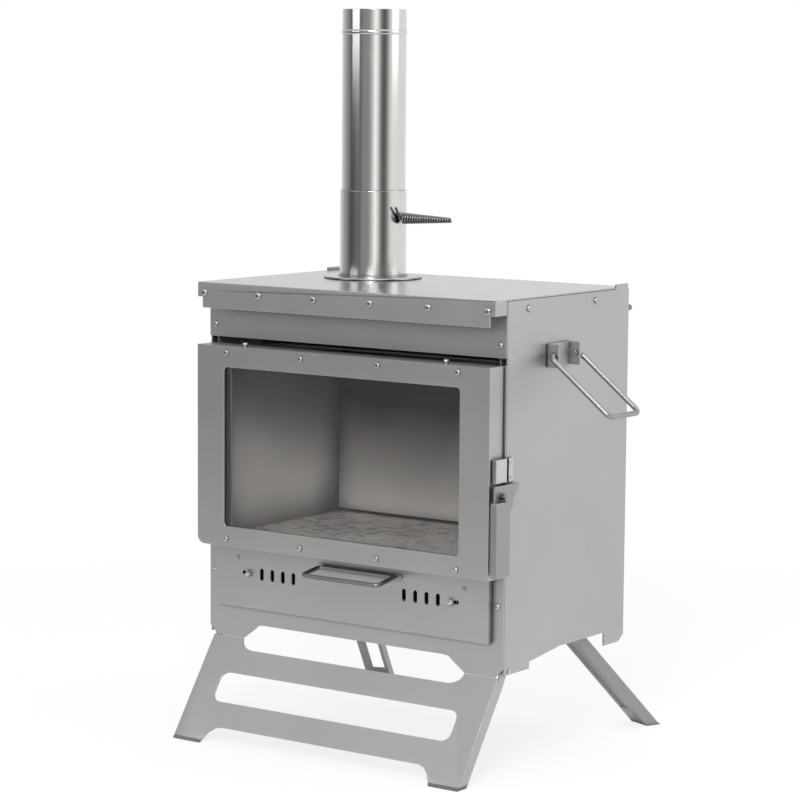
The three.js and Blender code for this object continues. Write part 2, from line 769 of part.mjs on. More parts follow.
const doorShell = cut(plate('front', doorOutline(0), yDoorFront, doorDepth), [
  plate('front', doorOutline(sheet), yDoorFront + sheet, doorDepth),
  plate('front', windowHole(0), yDoorFront - 1, sheet + 2),
  box(-doorHalf - 1, -doorHalf + sheet + 0.1, yDoorFront + hingeLip, yDoorBack + 1,
    zDoor + sheet, zDoorTop - sheet),
  plate('top', swingCorner, zDoor - 1, doorHeight + 2),
  ...screwHoles,
]);
add('door_frame', doorShell, 'brushed');
const ring = (inner, outer, start, thickness) => plate('front', windowHole(outer), start, thickness,
  [windowHole(inner).reverse()]);
const yGasket = yDoorFront + sheet + seat;
const yGlass = yGasket + gasketThickness + seat;
const yRetainer = yGlass + glassThickness + seat;
add('window_gasket', ring(1, gasketWidth, yGasket, gasketThickness), 'seal');
add('door_glass', plate('front', windowHole(glassLap), yGlass, glassThickness), 'pane');
add('glass_retainer', ring(1.5, retainerWidth, yRetainer, retainerSheet), 'brushed');
screwSpots.forEach(([x, z], i) => {
  const head = domedHead(screwRadius, screwHeight, [x, yDoorFront - seat, z], towardFront);
  const shank = rod('y', screwShank, yDoorFront - seat - 0.2, yRetainer - seat, [x, z], 10);
  add(`door_screw_${i + 1}`, joined([head, shank]), 'bright');
});
for (const side of [-1, 1]) {
  const stud = domedHead(screwRadius, topStudHeight,
    [side * (doorHalf - topStudInset), yDoorFront + topStudBack, zDoorTop + seat], towardUp);
  add(side < 0 ? 'door_top_stud_left' : 'door_top_stud_right', stud, 'bright');
}
add('door_hinge_pin',
  rod('z', hingePinRadius, zDoor + doorCorner, zDoorTop - sheet - seat, [xDoorPin, yDoorPin]), 'bright');
for (const [name, z] of [['hinge_tab_lower', zDoor + hingeTabEdge],
  ['hinge_tab_upper', zDoorTop - hingeTabEdge - hingeTabHeight]]) {
  const reach = hingePinRadius + sheet;
  const tab = plate('top', [
    [xDoorPin - reach, yFront - seat],
    [xDoorPin - reach, yDoorPin - reach * 0.4],
    [xDoorPin - reach * 0.4, yDoorPin - reach],
    [xDoorPin + reach * 0.4, yDoorPin - reach],
    [xDoorPin + reach, yDoorPin - reach * 0.4],
    [xDoorPin + reach, yFront - seat],
  ].reverse(), z, hingeTabHeight);
  const bore = rod('z', hingePinRadius + seat, z - 1, z + hingeTabHeight + 1, [xDoorPin, yDoorPin]);
  add(name, cut(tab, [bore]), 'brushed');
}

// ---- latch: a block and pivot on the door's edge, a keeper on the firebox, and the lever
const xDoorEdge = doorHalf + seat;
const xBlockOut = xDoorEdge + latchBlockWidth;
const zBlockTop = zDoor + latchBlockTop;
const zBlock = zBlockTop - latchBlockHeight;
const yBlock = yFront - latchBlockFront;
add('latch_block',
  box(xDoorEdge, xBlockOut, yBlock, yBlock + latchBlockDepth, zBlock, zBlockTop), 'bright');
const yKeeper = yFront + keeperSetback;
const towardRight = new THREE.Vector3(1, 0, 0);
const keeperHeads = [0.2, 0.8].map((share) => domedHead(knobNeck, screwHeight,
  [xBlockOut - rivetSink, yKeeper + keeperDepth / 3, zBlock + share * latchBlockHeight], towardRight));
const keeper = box(halfWidth + seat, xBlockOut, yKeeper, yKeeper + keeperDepth, zBlock, zBlockTop);
add('latch_keeper', joined([keeper, ...keeperHeads]), 'bright');
const yPivot = yFront - latchPinForward;
const zPivot = zBlock - latchPinDrop;
const xLever = doorHalf + leverOut;
add('latch_pin', joined([
  rod('x', latchPinRadius, xDoorEdge, xLever + gripThickness + seat, [yPivot, zPivot]),
  domedHead(latchPinRadius + 1.6, screwHeight + 0.4,
    [xLever + gripThickness + seat - 0.1, yPivot, zPivot], towardRight),
]), 'dark');
const hookOutline = [
  [-hookBack, hookTop], [hookReach, hookTop], [hookReach, hookTop - hookTip],
  [hookReach - hookTaper, -hookTaper / 2], [hookReach - hookTaper, -hookRoot], [-hookBack, -hookRoot],
].map(([y, z]) => [yPivot + y, zPivot + z]).reverse();
const gripTop = zPivot - 4;
const grip = plate('side', roundRect(yPivot - gripForward, yPivot - gripForward + gripWidth,
  gripTop - gripLength, gripTop, 3), xLever, gripThickness);
const leverBore = rod('x', latchPinRadius + seat, xLever - 1, xLever + gripThickness + 1, [yPivot, zPivot]);
const hook = plate('side', hookOutline, xLever, leverThickness);
add('latch_lever', cut(joined([hook, grip]), [leverBore]), 'dark');

// ---- ash drawer: a shallow front with vents, and an open tray that rests on the floor panel
const zDrawerTop = zDrawer + drawerHeight;
const yDrawerBack = yFront - drawerFrontGap;
const yDrawerFront = yDrawerBack - drawerFrontDepth;
const zVent = zDrawer + ventRise;
const ventHoles = (side, grow) => {
  const holes = [];
  for (let i = 0; i < ventCount; i += 1) {
    const x = side * (ventInner + i * ventPitch);
    const half = ventWidth / 2 + grow;
    const round = ventWidth / 2 - 0.1;
    holes.push(roundRect(x - half, x + half, zVent - ventHeight / 2, zVent + ventHeight / 2, round, 3).reverse());
  }
  return holes;
};
const knobSlots = [-1, 1].map((side) => {
  const a = side * (knobX - knobNeck - seat);
  const b = side * (knobX + shutterTravel + knobNeck + 2 * seat);
  const half = knobNeck + seat;
  return rectHole(Math.min(a, b), Math.max(a, b), zVent - half, zVent + half);
});
const drawerPlate = plate('front', rect(-drawerHalf, drawerHalf, zDrawer, zDrawerTop), yDrawerFront, sheet,
  [...ventHoles(-1, 0), ...ventHoles(1, 0), ...knobSlots]);
const drawerRim = plate('front', rect(-drawerHalf, drawerHalf, zDrawer, zDrawerTop),
  yDrawerFront + sheet - weld, drawerFrontDepth - sheet + weld,
  [rectHole(-drawerHalf + sheet, drawerHalf - sheet, zDrawer + sheet, zDrawerTop - sheet)]);
const zDrawerRivet = zDrawer + drawerRivetRise;
const drawerHeads = [-1, 1].map((side) => domedHead(drawerRivetRadius, screwHeight,
  [side * (drawerHalf - drawerRivetInset), yDrawerFront + rivetSink, zDrawerRivet], towardFront));
add('drawer_front', joined([drawerPlate, drawerRim, ...drawerHeads]), 'brushed');
const zTray = zDrawer + drawerMouthSill + running;
const yTray = yDrawerBack + seat;
const yTrayBack = yBack - trayBackGap;
add('drawer_tray', joined([
  box(-trayHalf, trayHalf, yTray, yTrayBack, zTray, zTray + sheet),
  box(-trayHalf, -trayHalf + sheet, yTray, yTrayBack, zTray, zTray + trayWall),
  box(trayHalf - sheet, trayHalf, yTray, yTrayBack, zTray, zTray + trayWall),
  box(-trayHalf, trayHalf, yTrayBack - sheet, yTrayBack, zTray, zTray + trayWall),
  box(-trayHalf, trayHalf, yTray, yTray + sheet, zTray, zTray + trayFrontWall),
]), 'inside');

// ---- sliding air shutters behind the drawer front, each with its knob
const yShutter = yDrawerFront + sheet + seat;
for (const side of [-1, 1]) {
  const a = side * (ventInner - ventWidth / 2 - shutterMargin);
  const b = side * (knobX + shutterMargin);
  const shutter = plate('front',
    rect(Math.min(a, b), Math.max(a, b), zVent - ventHeight / 2 - 3, zVent + ventHeight / 2 + 3),
    yShutter, shutterSheet, ventHoles(side, 0.2));
  const neck = rod('y', knobNeck, yDrawerFront - seat - 0.5, yShutter + 0.2, [side * knobX, zVent]);
  const knob = domedHead(knobRadius, knobLength, [side * knobX, yDrawerFront - seat, zVent], towardFront);
  add(side < 0 ? 'air_shutter_left' : 'air_shutter_right', joined([shutter, neck, knob]), 'bright');
}

// ---- drawer pull: a closed wire loop whose rear bar is welded to two feet
const zPull = zDrawer + pullRise;
const pullEnds = [pullMiddle - pullSpan / 2, pullMiddle + pullSpan / 2];
const yPullFoot = yDrawerFront - seat - sheet;
const yPullBar = yPullFoot - pullWire + 2 * weld;
const pullFront = wire([
  [pullEnds[0], yPullBar, zPull],
  [pullEnds[0], yDrawerFront - pullReach, zPull - pullDrop],
  [pullEnds[1], yDrawerFront - pullReach, zPull - pullDrop],
  [pullEnds[1], yPullBar, zPull],
], pullWire, pullBend);
const pullRear = rod('x', pullWire, pullEnds[0] - pullWire, pullEnds[1] + pullWire, [yPullBar, zPull], 8);
const pullFeet = pullEnds.map((x) => plate('front', roundRect(x - pullFootWidth / 2, x + pullFootWidth / 2,
  zPull - pullFootHeight / 2, zPull + pullFootHeight / 2, 2, 2), yPullFoot, sheet));
add('drawer_pull', joined([pullFront, pullRear, ...pullFeet]), 'dark');

// ---- side handles: a channel bracket and a wire bail on each side
for (const side of [-1, 1]) {
  const name = side < 0 ? 'left' : 'right';
  const x0 = side * (halfWidth + seat);
  const x1 = side * (halfWidth + seat + sheet);
  const x2 = side * (halfWidth + handleBracketDepth);
  const pivotX = side * (halfWidth + handlePivotOut);
  const half = handleBracketLength / 2;
  const z0 = zHandle - handleBracketHeight / 2;
  const z1 = zHandle + handleBracketHeight / 2;
  const base = box(Math.min(x0, x1), Math.max(x0, x1), yHandle - half, yHandle + half, z0, z1);
  const ears = [-1, 1].map((end) => {
    const a = yHandle + end * half;
    const b = yHandle + end * (half - sheet);
    return box(Math.min(x0, x2), Math.max(x0, x2), Math.min(a, b), Math.max(a, b), z0, z1);
  });
  const bore = rod('y', handleWire + seat, yHandle - half - 1, yHandle + half + 1, [pivotX, zHandle]);
  add(`handle_bracket_${name}`, cut(joined([base, ...ears]), [bore]), 'brushed');
  const angle = THREE.MathUtils.degToRad(side < 0 ? leftHandleAngle : rightHandleAngle);
  const outX = pivotX + side * handleArm * Math.cos(angle);
  const outZ = zHandle - handleArm * Math.sin(angle);
  const yNear = yHandle - handleSpan / 2;
  const yFar = yHandle + handleSpan / 2;
  add(`handle_bail_${name}`, solid(wire([
    [pivotX, yNear + handleStub, zHandle],
    [pivotX, yNear, zHandle],
    [outX, yNear, outZ],
    [outX, yFar, outZ],
    [pivotX, yFar, zHandle],
    [pivotX, yFar - handleStub, zHandle],
  ], handleWire, handleBend)), 'dark');
}

// ---- rear stud
add('rear_stud', rod('y', rearStudRadius, yBack + seat, yBack + seat + rearStudLength,
  [halfWidth - rearStudInset, zLid - rearStudDrop]), 'dark');

// ---- front leg: one slotted plate with side flanges, drawn flat and then leaned forward
const legLean = Math.atan2(frontLegSpread, legHeight);
const axisBackLocal = frontAxisBack * Math.cos(legLean) - frontAxisUp * Math.sin(legLean);
const axisUpLocal = frontAxisBack * Math.sin(legLean) + frontAxisUp * Math.cos(legLean);
const legReach = Math.hypot(frontLegSpread, legHeight) + 20;
const footInner = legHalf - frontFootWidth;
const archEnd = curve([footInner, -legReach], [footInner - frontArchCorner, -frontArchTop]);
const notchEnd = curve([apronSlotHalf, -seat], [apronSlotHalf - hingeSlotSlope, -hingeSlotDrop]);
const legSlot = roundRect(-legHalf + frontSlotInset, legHalf - frontSlotInset,
  -frontSlotBase, -frontSlotTop, frontSlotRadius);
const legFace = plate('front', [
  [-legHalf, -legReach],
  ...archEnd.map(([x, z]) => [-x, z]),
  ...archEnd.toReversed(),
  [legHalf, -legReach],
  [legHalf, -seat],
  ...notchEnd,
  ...notchEnd.toReversed().map(([x, z]) => [-x, z]),
  [-legHalf, -seat],
], 0, sheet, [legSlot.toReversed()]);
const legFlanges = [-legHalf, legHalf - sheet].map((x) => {
  const earRing = [];
  for (let i = 0; i <= 8; i += 1) {
    const turn = THREE.MathUtils.degToRad(-20 + 27.5 * i);
    earRing.push([axisBackLocal + frontEar * Math.cos(turn), axisUpLocal + frontEar * Math.sin(turn)]);
  }
  const side = plate('side', [
    [0, -legReach], [frontFlange, -legReach], [frontFlange, -4], ...earRing, [sheet * 2, 0], [0.2, -4],
  ], x, sheet);
  return cut(side, [rod('x', legPinRadius + seat, x - 1, x + sheet + 1, [axisBackLocal, axisUpLocal])]);
});
const upright = joined([legFace, ...legFlanges]);
const leaned = upright.rotate([-THREE.MathUtils.radToDeg(legLean), 0, 0]).translate([0, yFront, zHinge]);
const underFeet = box(-bodyWidth, bodyWidth, yFront - bodyDepth, yFront + bodyDepth, -belowFloor, 0);
add('front_leg', cut(leaned, [underFeet]), 'brushed');
for (const side of [-1, 1]) {
  const a = side * (legHalf - sheet - 1.5);
  const b = side * (halfWidth + 0.6);
  add(side < 0 ? 'front_leg_pin_left' : 'front_leg_pin_right',
    rod('x', legPinRadius, Math.min(a, b), Math.max(a, b), [yLegAxis, zLegAxis]), 'bright');
}

// ---- rear legs: slotted channels that splay back and outwards, each in its own bracket
const tilt = THREE.MathUtils.degToRad(rearTilt);
const zRearAxis = zHinge + rearAxisUp;
const yRearAxis = yBack - rearAxisFromBack;
const xRearAxis = halfWidth - rearAxisInset;
const along = [Math.sin(tilt), -Math.cos(tilt)];
const behind = [Math.cos(tilt), Math.sin(tilt)];
const onLeg = (s, n) => [s * along[0] + n * behind[0], zRearAxis + s * along[1] + n * behind[1]];
const faceFoot = (zRearAxis - rearFaceOffset * behind[1]) / Math.cos(tilt);
const rearReach = faceFoot + 30;
const zBracketTop = zFloor - seat;
for (const side of [-1, 1]) {
  const name = side < 0 ? 'left' : 'right';
  const half = rearLegWidth / 2;
  const faceFront = -rearFaceOffset;
  const flangeBack = rearFlange - rearFaceOffset;
  const face = plate('side', [onLeg(-rearLegTop, faceFront), onLeg(rearReach, faceFront),
    onLeg(rearReach, faceFront + sheet), onLeg(-rearLegTop, faceFront + sheet)], -half, rearLegWidth);
  const cheeks = [-half, half - sheet].map((x) => {
    const cheek = plate('side', [
      onLeg(-rearLegTop, faceFront), onLeg(rearReach, faceFront), onLeg(rearReach, flangeBack),
      onLeg(3, flangeBack), onLeg(-2.5, flangeBack - 1.8), onLeg(-rearEarRadius, 0),
    ], x, sheet);
    return cut(cheek, [rod('x', legPinRadius + seat, x - 1, x + sheet + 1, [0, zRearAxis])]);
  });
  const footStart = onLeg(faceFoot, faceFront)[0];
  const foot = box(-half, half, footStart, footStart + rearFootLength, 0, sheet);
  const outer = half - rearHoleEdge;
  const inner = -half + rearHoleInner;
  const holeA = side > 0 ? inner : -outer;
  const holeB = side > 0 ? outer : -inner;
  const holeFoot = faceFoot - rearHoleFoot;
  const hole = plate('side', [onLeg(rearHoleHead, faceFront - 2), onLeg(holeFoot, faceFront - 2),
    onLeg(holeFoot, faceFront + sheet + 1), onLeg(rearHoleHead, faceFront + sheet + 1)], holeA, holeB - holeA);
  const turn = -side * rearPlanAngle;
  const place = (body) => body.rotate([0, 0, turn]).translate([side * xRearAxis, yRearAxis, 0]);
  const below = box(-bodyWidth, bodyWidth, -bodyDepth, bodyDepth * 2, -belowFloor, 0);
  add(`rear_leg_${name}`, place(cut(joined([face, ...cheeks, foot]), [hole, below])), 'brushed');
  const earHalf = half + seat;
  const earTop = zBracketTop - weld;
  const earPlates = [-earHalf - sheet, earHalf].map((x) => plate('side', [
    [-rearEarWidth / 2, earTop], [-rearEarWidth / 2, zRearAxis], [-rearEarWidth / 4, zRearAxis - 6],
    [rearEarWidth / 4, zRearAxis - 6], [rearEarWidth / 2, zRearAxis], [rearEarWidth / 2, earTop],
  ], x, sheet));
  const cap = box(-earHalf - sheet, earHalf + sheet, -rearEarWidth / 2, rearEarWidth / 2,
    zBracketTop - sheet, zBracketTop);
  const earBore = rod('x', legPinRadius + seat, -earHalf - sheet - 1, earHalf + sheet + 1, [0, zRearAxis]);
  add(`rear_bracket_${name}`, place(cut(joined([...earPlates, cap]), [earBore])), 'brushed');
  const pinHalf = earHalf + sheet + running;
  add(`rear_pin_${name}`, place(solid(rod('x', legPinRadius, -pinHalf, pinHalf, [0, zRearAxis]))), 'bright');
}

export default stove;
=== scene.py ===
import json
import math
import bpy
import bmesh
from mathutils import Matrix, Vector


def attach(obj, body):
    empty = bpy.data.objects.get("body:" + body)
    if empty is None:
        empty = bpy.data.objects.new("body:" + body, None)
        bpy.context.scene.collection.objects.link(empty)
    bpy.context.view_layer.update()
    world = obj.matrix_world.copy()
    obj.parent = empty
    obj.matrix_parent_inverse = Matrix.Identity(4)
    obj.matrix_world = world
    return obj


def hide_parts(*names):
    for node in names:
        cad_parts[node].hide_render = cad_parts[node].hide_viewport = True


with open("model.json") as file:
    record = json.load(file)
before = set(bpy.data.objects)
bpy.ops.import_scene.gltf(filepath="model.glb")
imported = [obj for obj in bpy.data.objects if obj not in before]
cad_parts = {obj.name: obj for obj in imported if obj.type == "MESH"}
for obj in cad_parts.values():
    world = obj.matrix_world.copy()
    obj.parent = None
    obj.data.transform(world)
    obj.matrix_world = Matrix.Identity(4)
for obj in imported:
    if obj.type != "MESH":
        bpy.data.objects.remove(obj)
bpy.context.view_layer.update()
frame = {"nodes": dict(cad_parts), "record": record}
nodes = frame["nodes"]
bodyOfNode = {}
for bodyName, members in frame["record"]["behaviour"]["bodies"].items():
    for member in members:
        bodyOfNode[member] = bodyName

firebox = Vector((-0.0315, -0.006, 0))  # the firebox's middle in the part's frame


def at(x, y, z):
    # millimetres from the firebox's middle to metres in the part's frame
    return firebox + Vector((x, y, z)) * 0.001


def dropSelection():
    for thing in bpy.context.selected_objects:
        thing.select_set(False)


def makeActive(piece):
    dropSelection()
    piece.select_set(True)
    bpy.context.view_layer.objects.active = piece


def edit(piece, kind="VERT"):
    makeActive(piece)
    bpy.ops.object.mode_set(mode="EDIT")
    bpy.ops.mesh.select_mode(type=kind)


def leaveEdit():
    bpy.ops.object.mode_set(mode="OBJECT")


def pick(piece, kind, test):
    # selects the vertices, edges or faces that pass the test, and opens edit mode
    mesh = piece.data
    for group in (mesh.vertices, mesh.edges, mesh.polygons):
        group.foreach_set("select", [False] * len(group))
    chosen = {"VERT": mesh.vertices, "EDGE": mesh.edges, "FACE": mesh.polygons}[kind]
    for item in chosen:
        item.select = test(item)
    edit(piece, kind)


def applyPlace(piece):
    makeActive(piece)
    bpy.ops.object.transform_apply(location=True, rotation=True, scale=True)


def closeUp(piece, angle=35):
    # merges doubles, turns the faces outwards and smooths what isn't a corner
    edit(piece)
    bpy.ops.mesh.select_all(action="SELECT")
    bpy.ops.mesh.remove_doubles(threshold=0.00001)
    bpy.ops.mesh.normals_make_consistent(inside=False)
    leaveEdit()
    bpy.ops.object.shade_smooth_by_angle(angle=math.radians(angle))


def faceOutwards(piece):
    # the enclosed volume is negative where the faces of a closed piece point inwards
    shell = bmesh.new()
    shell.from_mesh(piece.data)
    insideOut = shell.calc_volume(signed=True) < 0
    shell.free()
    if insideOut:
        edit(piece, "FACE")
        bpy.ops.mesh.select_all(action="SELECT")
        bpy.ops.mesh.flip_normals()
        leaveEdit()


def addBevel(piece, width, segments=2, angle=30):
    makeActive(piece)
    bevel = piece.modifiers.new("edges", "BEVEL")
    bevel.width = width * 0.001
    bevel.segments = segments
    bevel.limit_method = "ANGLE"
    bevel.angle_limit = math.radians(angle)
    bevel.use_clamp_overlap = False
    bpy.ops.object.modifier_apply(modifier=bevel.name)


def smoothBroad(piece, angle=35):
    # the broad faces set the normals, so that a flat plate shades flat up to its rounded edge
    makeActive(piece)
    bpy.ops.object.shade_smooth_by_angle(angle=math.radians(angle))
    weigh = piece.modifiers.new("broad", "WEIGHTED_NORMAL")
    weigh.weight = 100
    weigh.keep_sharp = True
    bpy.ops.object.modifier_apply(modifier=weigh.name)


def settle(piece, material, body, replaced=()):
    piece.data.materials.clear()
    piece.data.materials.append(material)
    for face in piece.data.polygons:
        face.material_index = 0
    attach(piece, body)
    if replaced:
        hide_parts(*replaced)


def joinPieces(pieces, name):
    dropSelection()
    for piece in pieces:
        piece.select_set(True)
    bpy.context.view_layer.objects.active = pieces[0]
    bpy.ops.object.join()
    joined = bpy.context.object
    joined.name = name
    return joined


def copyTo(source, move, turn):
    twin = bpy.data.objects.new(source.name + "Copy", source.data.copy())
    bpy.context.scene.collection.objects.link(twin)
    twin.data.transform(turn)
    twin.data.transform(Matrix.Translation(move))
    return twin


# shared shader groups
def newGroup(name, inputs, outputs):
    tree = bpy.data.node_groups.new(name, "ShaderNodeTree")
    for label, kind, value in inputs:
        socket = tree.interface.new_socket(name=label, in_out="INPUT", socket_type=kind)
        if value is not None:
            socket.default_value = value
    for label, kind in outputs:
        tree.interface.new_socket(name=label, in_out="OUTPUT", socket_type=kind)
    start = tree.nodes.new("NodeGroupInput")
    end = tree.nodes.new("NodeGroupOutput")
    return tree, start, end


def mathNode(tree, operation, a, b=None, c=None, clamp=False):
    node = tree.nodes.new("ShaderNodeMath")
    node.operation = operation
    node.use_clamp = clamp
    for index, value in enumerate((a, b, c)):
        if value is None:
            continue
        if isinstance(value, (int, float)):
            node.inputs[index].default_value = value
        else:
            tree.links.new(value, node.inputs[index])
    return node.outputs[0]


def noiseNode(tree, vector, scale, detail=3.0, roughness=0.5):
    node = tree.nodes.new("ShaderNodeTexNoise")
    node.inputs["Scale"].default_value = scale
    node.inputs["Detail"].default_value = detail
    node.inputs["Roughness"].default_value = roughness
    tree.links.new(vector, node.inputs["Vector"])
    return node.outputs["Fac"]


def makeGrainGroup():
    tree, start, end = newGroup("rolledGrain",
        [("Stretched", "NodeSocketVector", None), ("Plain", "NodeSocketVector", None)],
        [("Line", "NodeSocketFloat"), ("Cloud", "NodeSocketFloat"), ("Scuff", "NodeSocketFloat")])
    fine = noiseNode(tree, start.outputs["Stretched"], 900.0, 3.0, 0.6)
    coarse = noiseNode(tree, start.outputs["Stretched"], 260.0, 2.0, 0.5)
    lines = mathNode(tree, "MULTIPLY_ADD", fine, 0.6, mathNode(tree, "MULTIPLY", coarse, 0.4))
    cloud = noiseNode(tree, start.outputs["Plain"], 7.0, 5.0, 0.55)
    marks = noiseNode(tree, start.outputs["Plain"], 46.0, 6.0, 0.72)
    scuff = mathNode(tree, "MULTIPLY", mathNode(tree, "SUBTRACT", marks, 0.56), 6.0, clamp=True)
    tree.links.new(lines, end.inputs["Line"])
    tree.links.new(cloud, end.inputs["Cloud"])
    tree.links.new(scuff, end.inputs["Scuff"])
    return tree


def makeEdgeGroup():
    # how far the surface turns within a small radius: 1 on a corner, 0 on a flat; the edges it finds are
    # lightened as wear and as painted highlight
    tree, start, end = newGroup("edgeRubAndHighlight",
        [("Vector", "NodeSocketVector", None)], [("Mask", "NodeSocketFloat")])
    bevel = tree.nodes.new("ShaderNodeBevel")
    bevel.samples = 4
    bevel.inputs["Radius"].default_value = 0.0012
    geometry = tree.nodes.new("ShaderNodeNewGeometry")
    dot = tree.nodes.new("ShaderNodeVectorMath")
    dot.operation = "DOT_PRODUCT"
    tree.links.new(bevel.outputs["Normal"], dot.inputs[0])
    tree.links.new(geometry.outputs["Normal"], dot.inputs[1])
    turned = mathNode(tree, "SUBTRACT", 1.0, dot.outputs["Value"], clamp=True)
    broken = noiseNode(tree, start.outputs["Vector"], 120.0, 4.0, 0.6)
    mask = mathNode(tree, "MULTIPLY", mathNode(tree, "MULTIPLY", turned, 6.0, clamp=True),
        mathNode(tree, "MULTIPLY_ADD", broken, 1.4, -0.2, clamp=True), clamp=True)
    tree.links.new(mask, end.inputs["Mask"])
    return tree


def makeCreviceShadeGroup():
    # 1 deep in a joint, 0 on open metal; it darkens joints, corners and recesses as painted shade
    tree, start, end = newGroup("creviceShadeMask",
        [("Reach", "NodeSocketFloat", 0.006)], [("Mask", "NodeSocketFloat")])
    occlusion = tree.nodes.new("ShaderNodeAmbientOcclusion")
    occlusion.samples = 6
    tree.links.new(start.outputs["Reach"], occlusion.inputs["Distance"])
    closed = mathNode(tree, "SUBTRACT", 0.86, occlusion.outputs["AO"])
    tree.links.new(mathNode(tree, "MULTIPLY", closed, 2.4, clamp=True), end.inputs["Mask"])
    return tree


grainGroup = makeGrainGroup()
edgeGroup = makeEdgeGroup()
creviceShadeGroup = makeCreviceShadeGroup()


def placeGroup(tree, group):
    node = tree.nodes.new("ShaderNodeGroup")
    node.node_tree = group
    return node


def startMaterial(name):
    material = bpy.data.materials.new(name)
    material.use_nodes = True
    tree = material.node_tree
    shader = tree.nodes["Principled BSDF"]
    coordinate = tree.nodes.new("ShaderNodeTexCoord")
    return material, tree, shader, coordinate.outputs["Object"]


def mixColour(tree, share, first, second):
    node = tree.nodes.new("ShaderNodeMix")
    node.data_type = "RGBA"
    for socket, value in ((node.inputs[0], share), (node.inputs[6], first), (node.inputs[7], second)):
        if isinstance(value, (int, float)):
            socket.default_value = value
        elif isinstance(value, (tuple, list)):
            socket.default_value = (*value, 1.0)
        else:
            tree.links.new(value, socket)
    return node.outputs[2]


# colours laid over the steel: the crevice colour is painted shade, ash is real ash, and the drift makes the
# edge of the soot and painted shade ragged
dirtAndShade = {"creviceShade": (0.08, 0.078, 0.075), "ash": (0.21, 0.20, 0.19), "sootAndShadeDrift": 0.05}


def steelFinish(name, look):
    material, tree, shader, place = startMaterial(name)
    stretch = tree.nodes.new("ShaderNodeMapping")
    stretch.inputs["Scale"].default_value = look["stretch"]
    tree.links.new(place, stretch.inputs["Vector"])
    grain = placeGroup(tree, grainGroup)
    tree.links.new(stretch.outputs["Vector"], grain.inputs["Stretched"])
    tree.links.new(place, grain.inputs["Plain"])
    edge = placeGroup(tree, edgeGroup)
    tree.links.new(place, edge.inputs["Vector"])
    tone = mixColour(tree, grain.outputs["Cloud"], look["dark"], look["light"])
    # edges lighten towards the worn colour: partly wear, partly painted highlight
    wornHighlightShare = mathNode(tree, "MULTIPLY", edge.outputs["Mask"], look["edge"])
    wornLitAndShaded = mixColour(tree, wornHighlightShare, tone, look["wornAndHighlight"])
    # painted shade: the colour darkens in joints, corners and recesses, where shade falls
    creviceShadeMask = placeGroup(tree, creviceShadeGroup)
    creviceShadeMask.inputs["Reach"].default_value = look["reach"]
    creviceShadeShare = mathNode(tree, "MULTIPLY", creviceShadeMask.outputs["Mask"], look["creviceShade"])
    wornLitAndShaded = mixColour(tree, creviceShadeShare, wornLitAndShaded, dirtAndShade["creviceShade"])
    if "ash" in look:  # blotches of ash and soot
        blotch = noiseNode(tree, place, look["ash"], 3.0, 0.6)
        spread = mathNode(tree, "MULTIPLY", mathNode(tree, "SUBTRACT", blotch, 0.5), 6.0, clamp=True)
        wornLitAndShaded = mixColour(tree, spread, wornLitAndShaded, dirtAndShade["ash"])
    if "sootAndShadeFrom" in look:  # soot and painted shade darken the metal upwards, with a cloudy edge
        parts = tree.nodes.new("ShaderNodeSeparateXYZ")
        tree.links.new(place, parts.inputs[0])
        ragged = mathNode(tree, "MULTIPLY_ADD", grain.outputs["Cloud"], dirtAndShade["sootAndShadeDrift"], parts.outputs["Z"])
        height = mathNode(tree, "SUBTRACT", ragged, look["sootAndShadeFrom"] + dirtAndShade["sootAndShadeDrift"] / 2)
        sootAndShade = mathNode(tree, "DIVIDE", height, look["sootAndShadeTo"] - look["sootAndShadeFrom"], clamp=True)
        wornLitAndShaded = mixColour(tree, sootAndShade, wornLitAndShaded, look["sootAndShade"])
    tree.links.new(wornLitAndShaded, shader.inputs["Base Color"])
    shader.inputs["Metallic"].default_value = look.get("metal", 1.0)
    cloudy = mathNode(tree, "MULTIPLY_ADD", grain.outputs["Cloud"], look["cloud"],
        look["roughness"] - look["cloud"] / 2)
    lined = mathNode(tree, "MULTIPLY_ADD", grain.outputs["Line"], look["line"], cloudy)
    scuffed = mathNode(tree, "MULTIPLY_ADD", grain.outputs["Scuff"], look["scuff"], lined)
    smooth = mathNode(tree, "SUBTRACT", scuffed, look["line"] / 2, clamp=True)
    tree.links.new(smooth, shader.inputs["Roughness"])
    wave = noiseNode(tree, place, 5.0, 2.0, 0.4)
    scratched = mathNode(tree, "MULTIPLY", grain.outputs["Line"], look["scratch"])
    height = mathNode(tree, "MULTIPLY_ADD", wave, look["wave"], scratched)
    bump = tree.nodes.new("ShaderNodeBump")
    bump.inputs["Strength"].default_value = 1.0
    bump.inputs["Distance"].default_value = 0.001
    tree.links.new(height, bump.inputs["Height"])
    tree.links.new(bump.outputs["Normal"], shader.inputs["Normal"])
    return material


satinLook = {"dark": (0.41, 0.405, 0.40), "light": (0.49, 0.485, 0.48), "wornAndHighlight": (0.62, 0.615, 0.61),
    "edge": 0.7, "creviceShade": 0.8, "reach": 0.006, "roughness": 0.42, "cloud": 0.06, "line": 0.05, "scuff": 0.05,
    "stretch": (0.04, 1.0, 1.0), "wave": 0.12, "scratch": 0.012}
lidLook = dict(satinLook, roughness=0.24)
flangeLook = dict(satinLook, dark=(0.42, 0.415, 0.41), light=(0.50, 0.495, 0.49), roughness=0.44)
flueLook = dict(satinLook, dark=(0.60, 0.595, 0.585), light=(0.68, 0.675, 0.665), roughness=0.13, cloud=0.04,
    stretch=(1.0, 1.0, 0.03), wave=0.0, line=0.03)
brightLook = dict(satinLook, dark=(0.50, 0.50, 0.50), light=(0.62, 0.62, 0.62), roughness=0.25,
    stretch=(1.0, 1.0, 1.0), wave=0.0, edge=0.5)
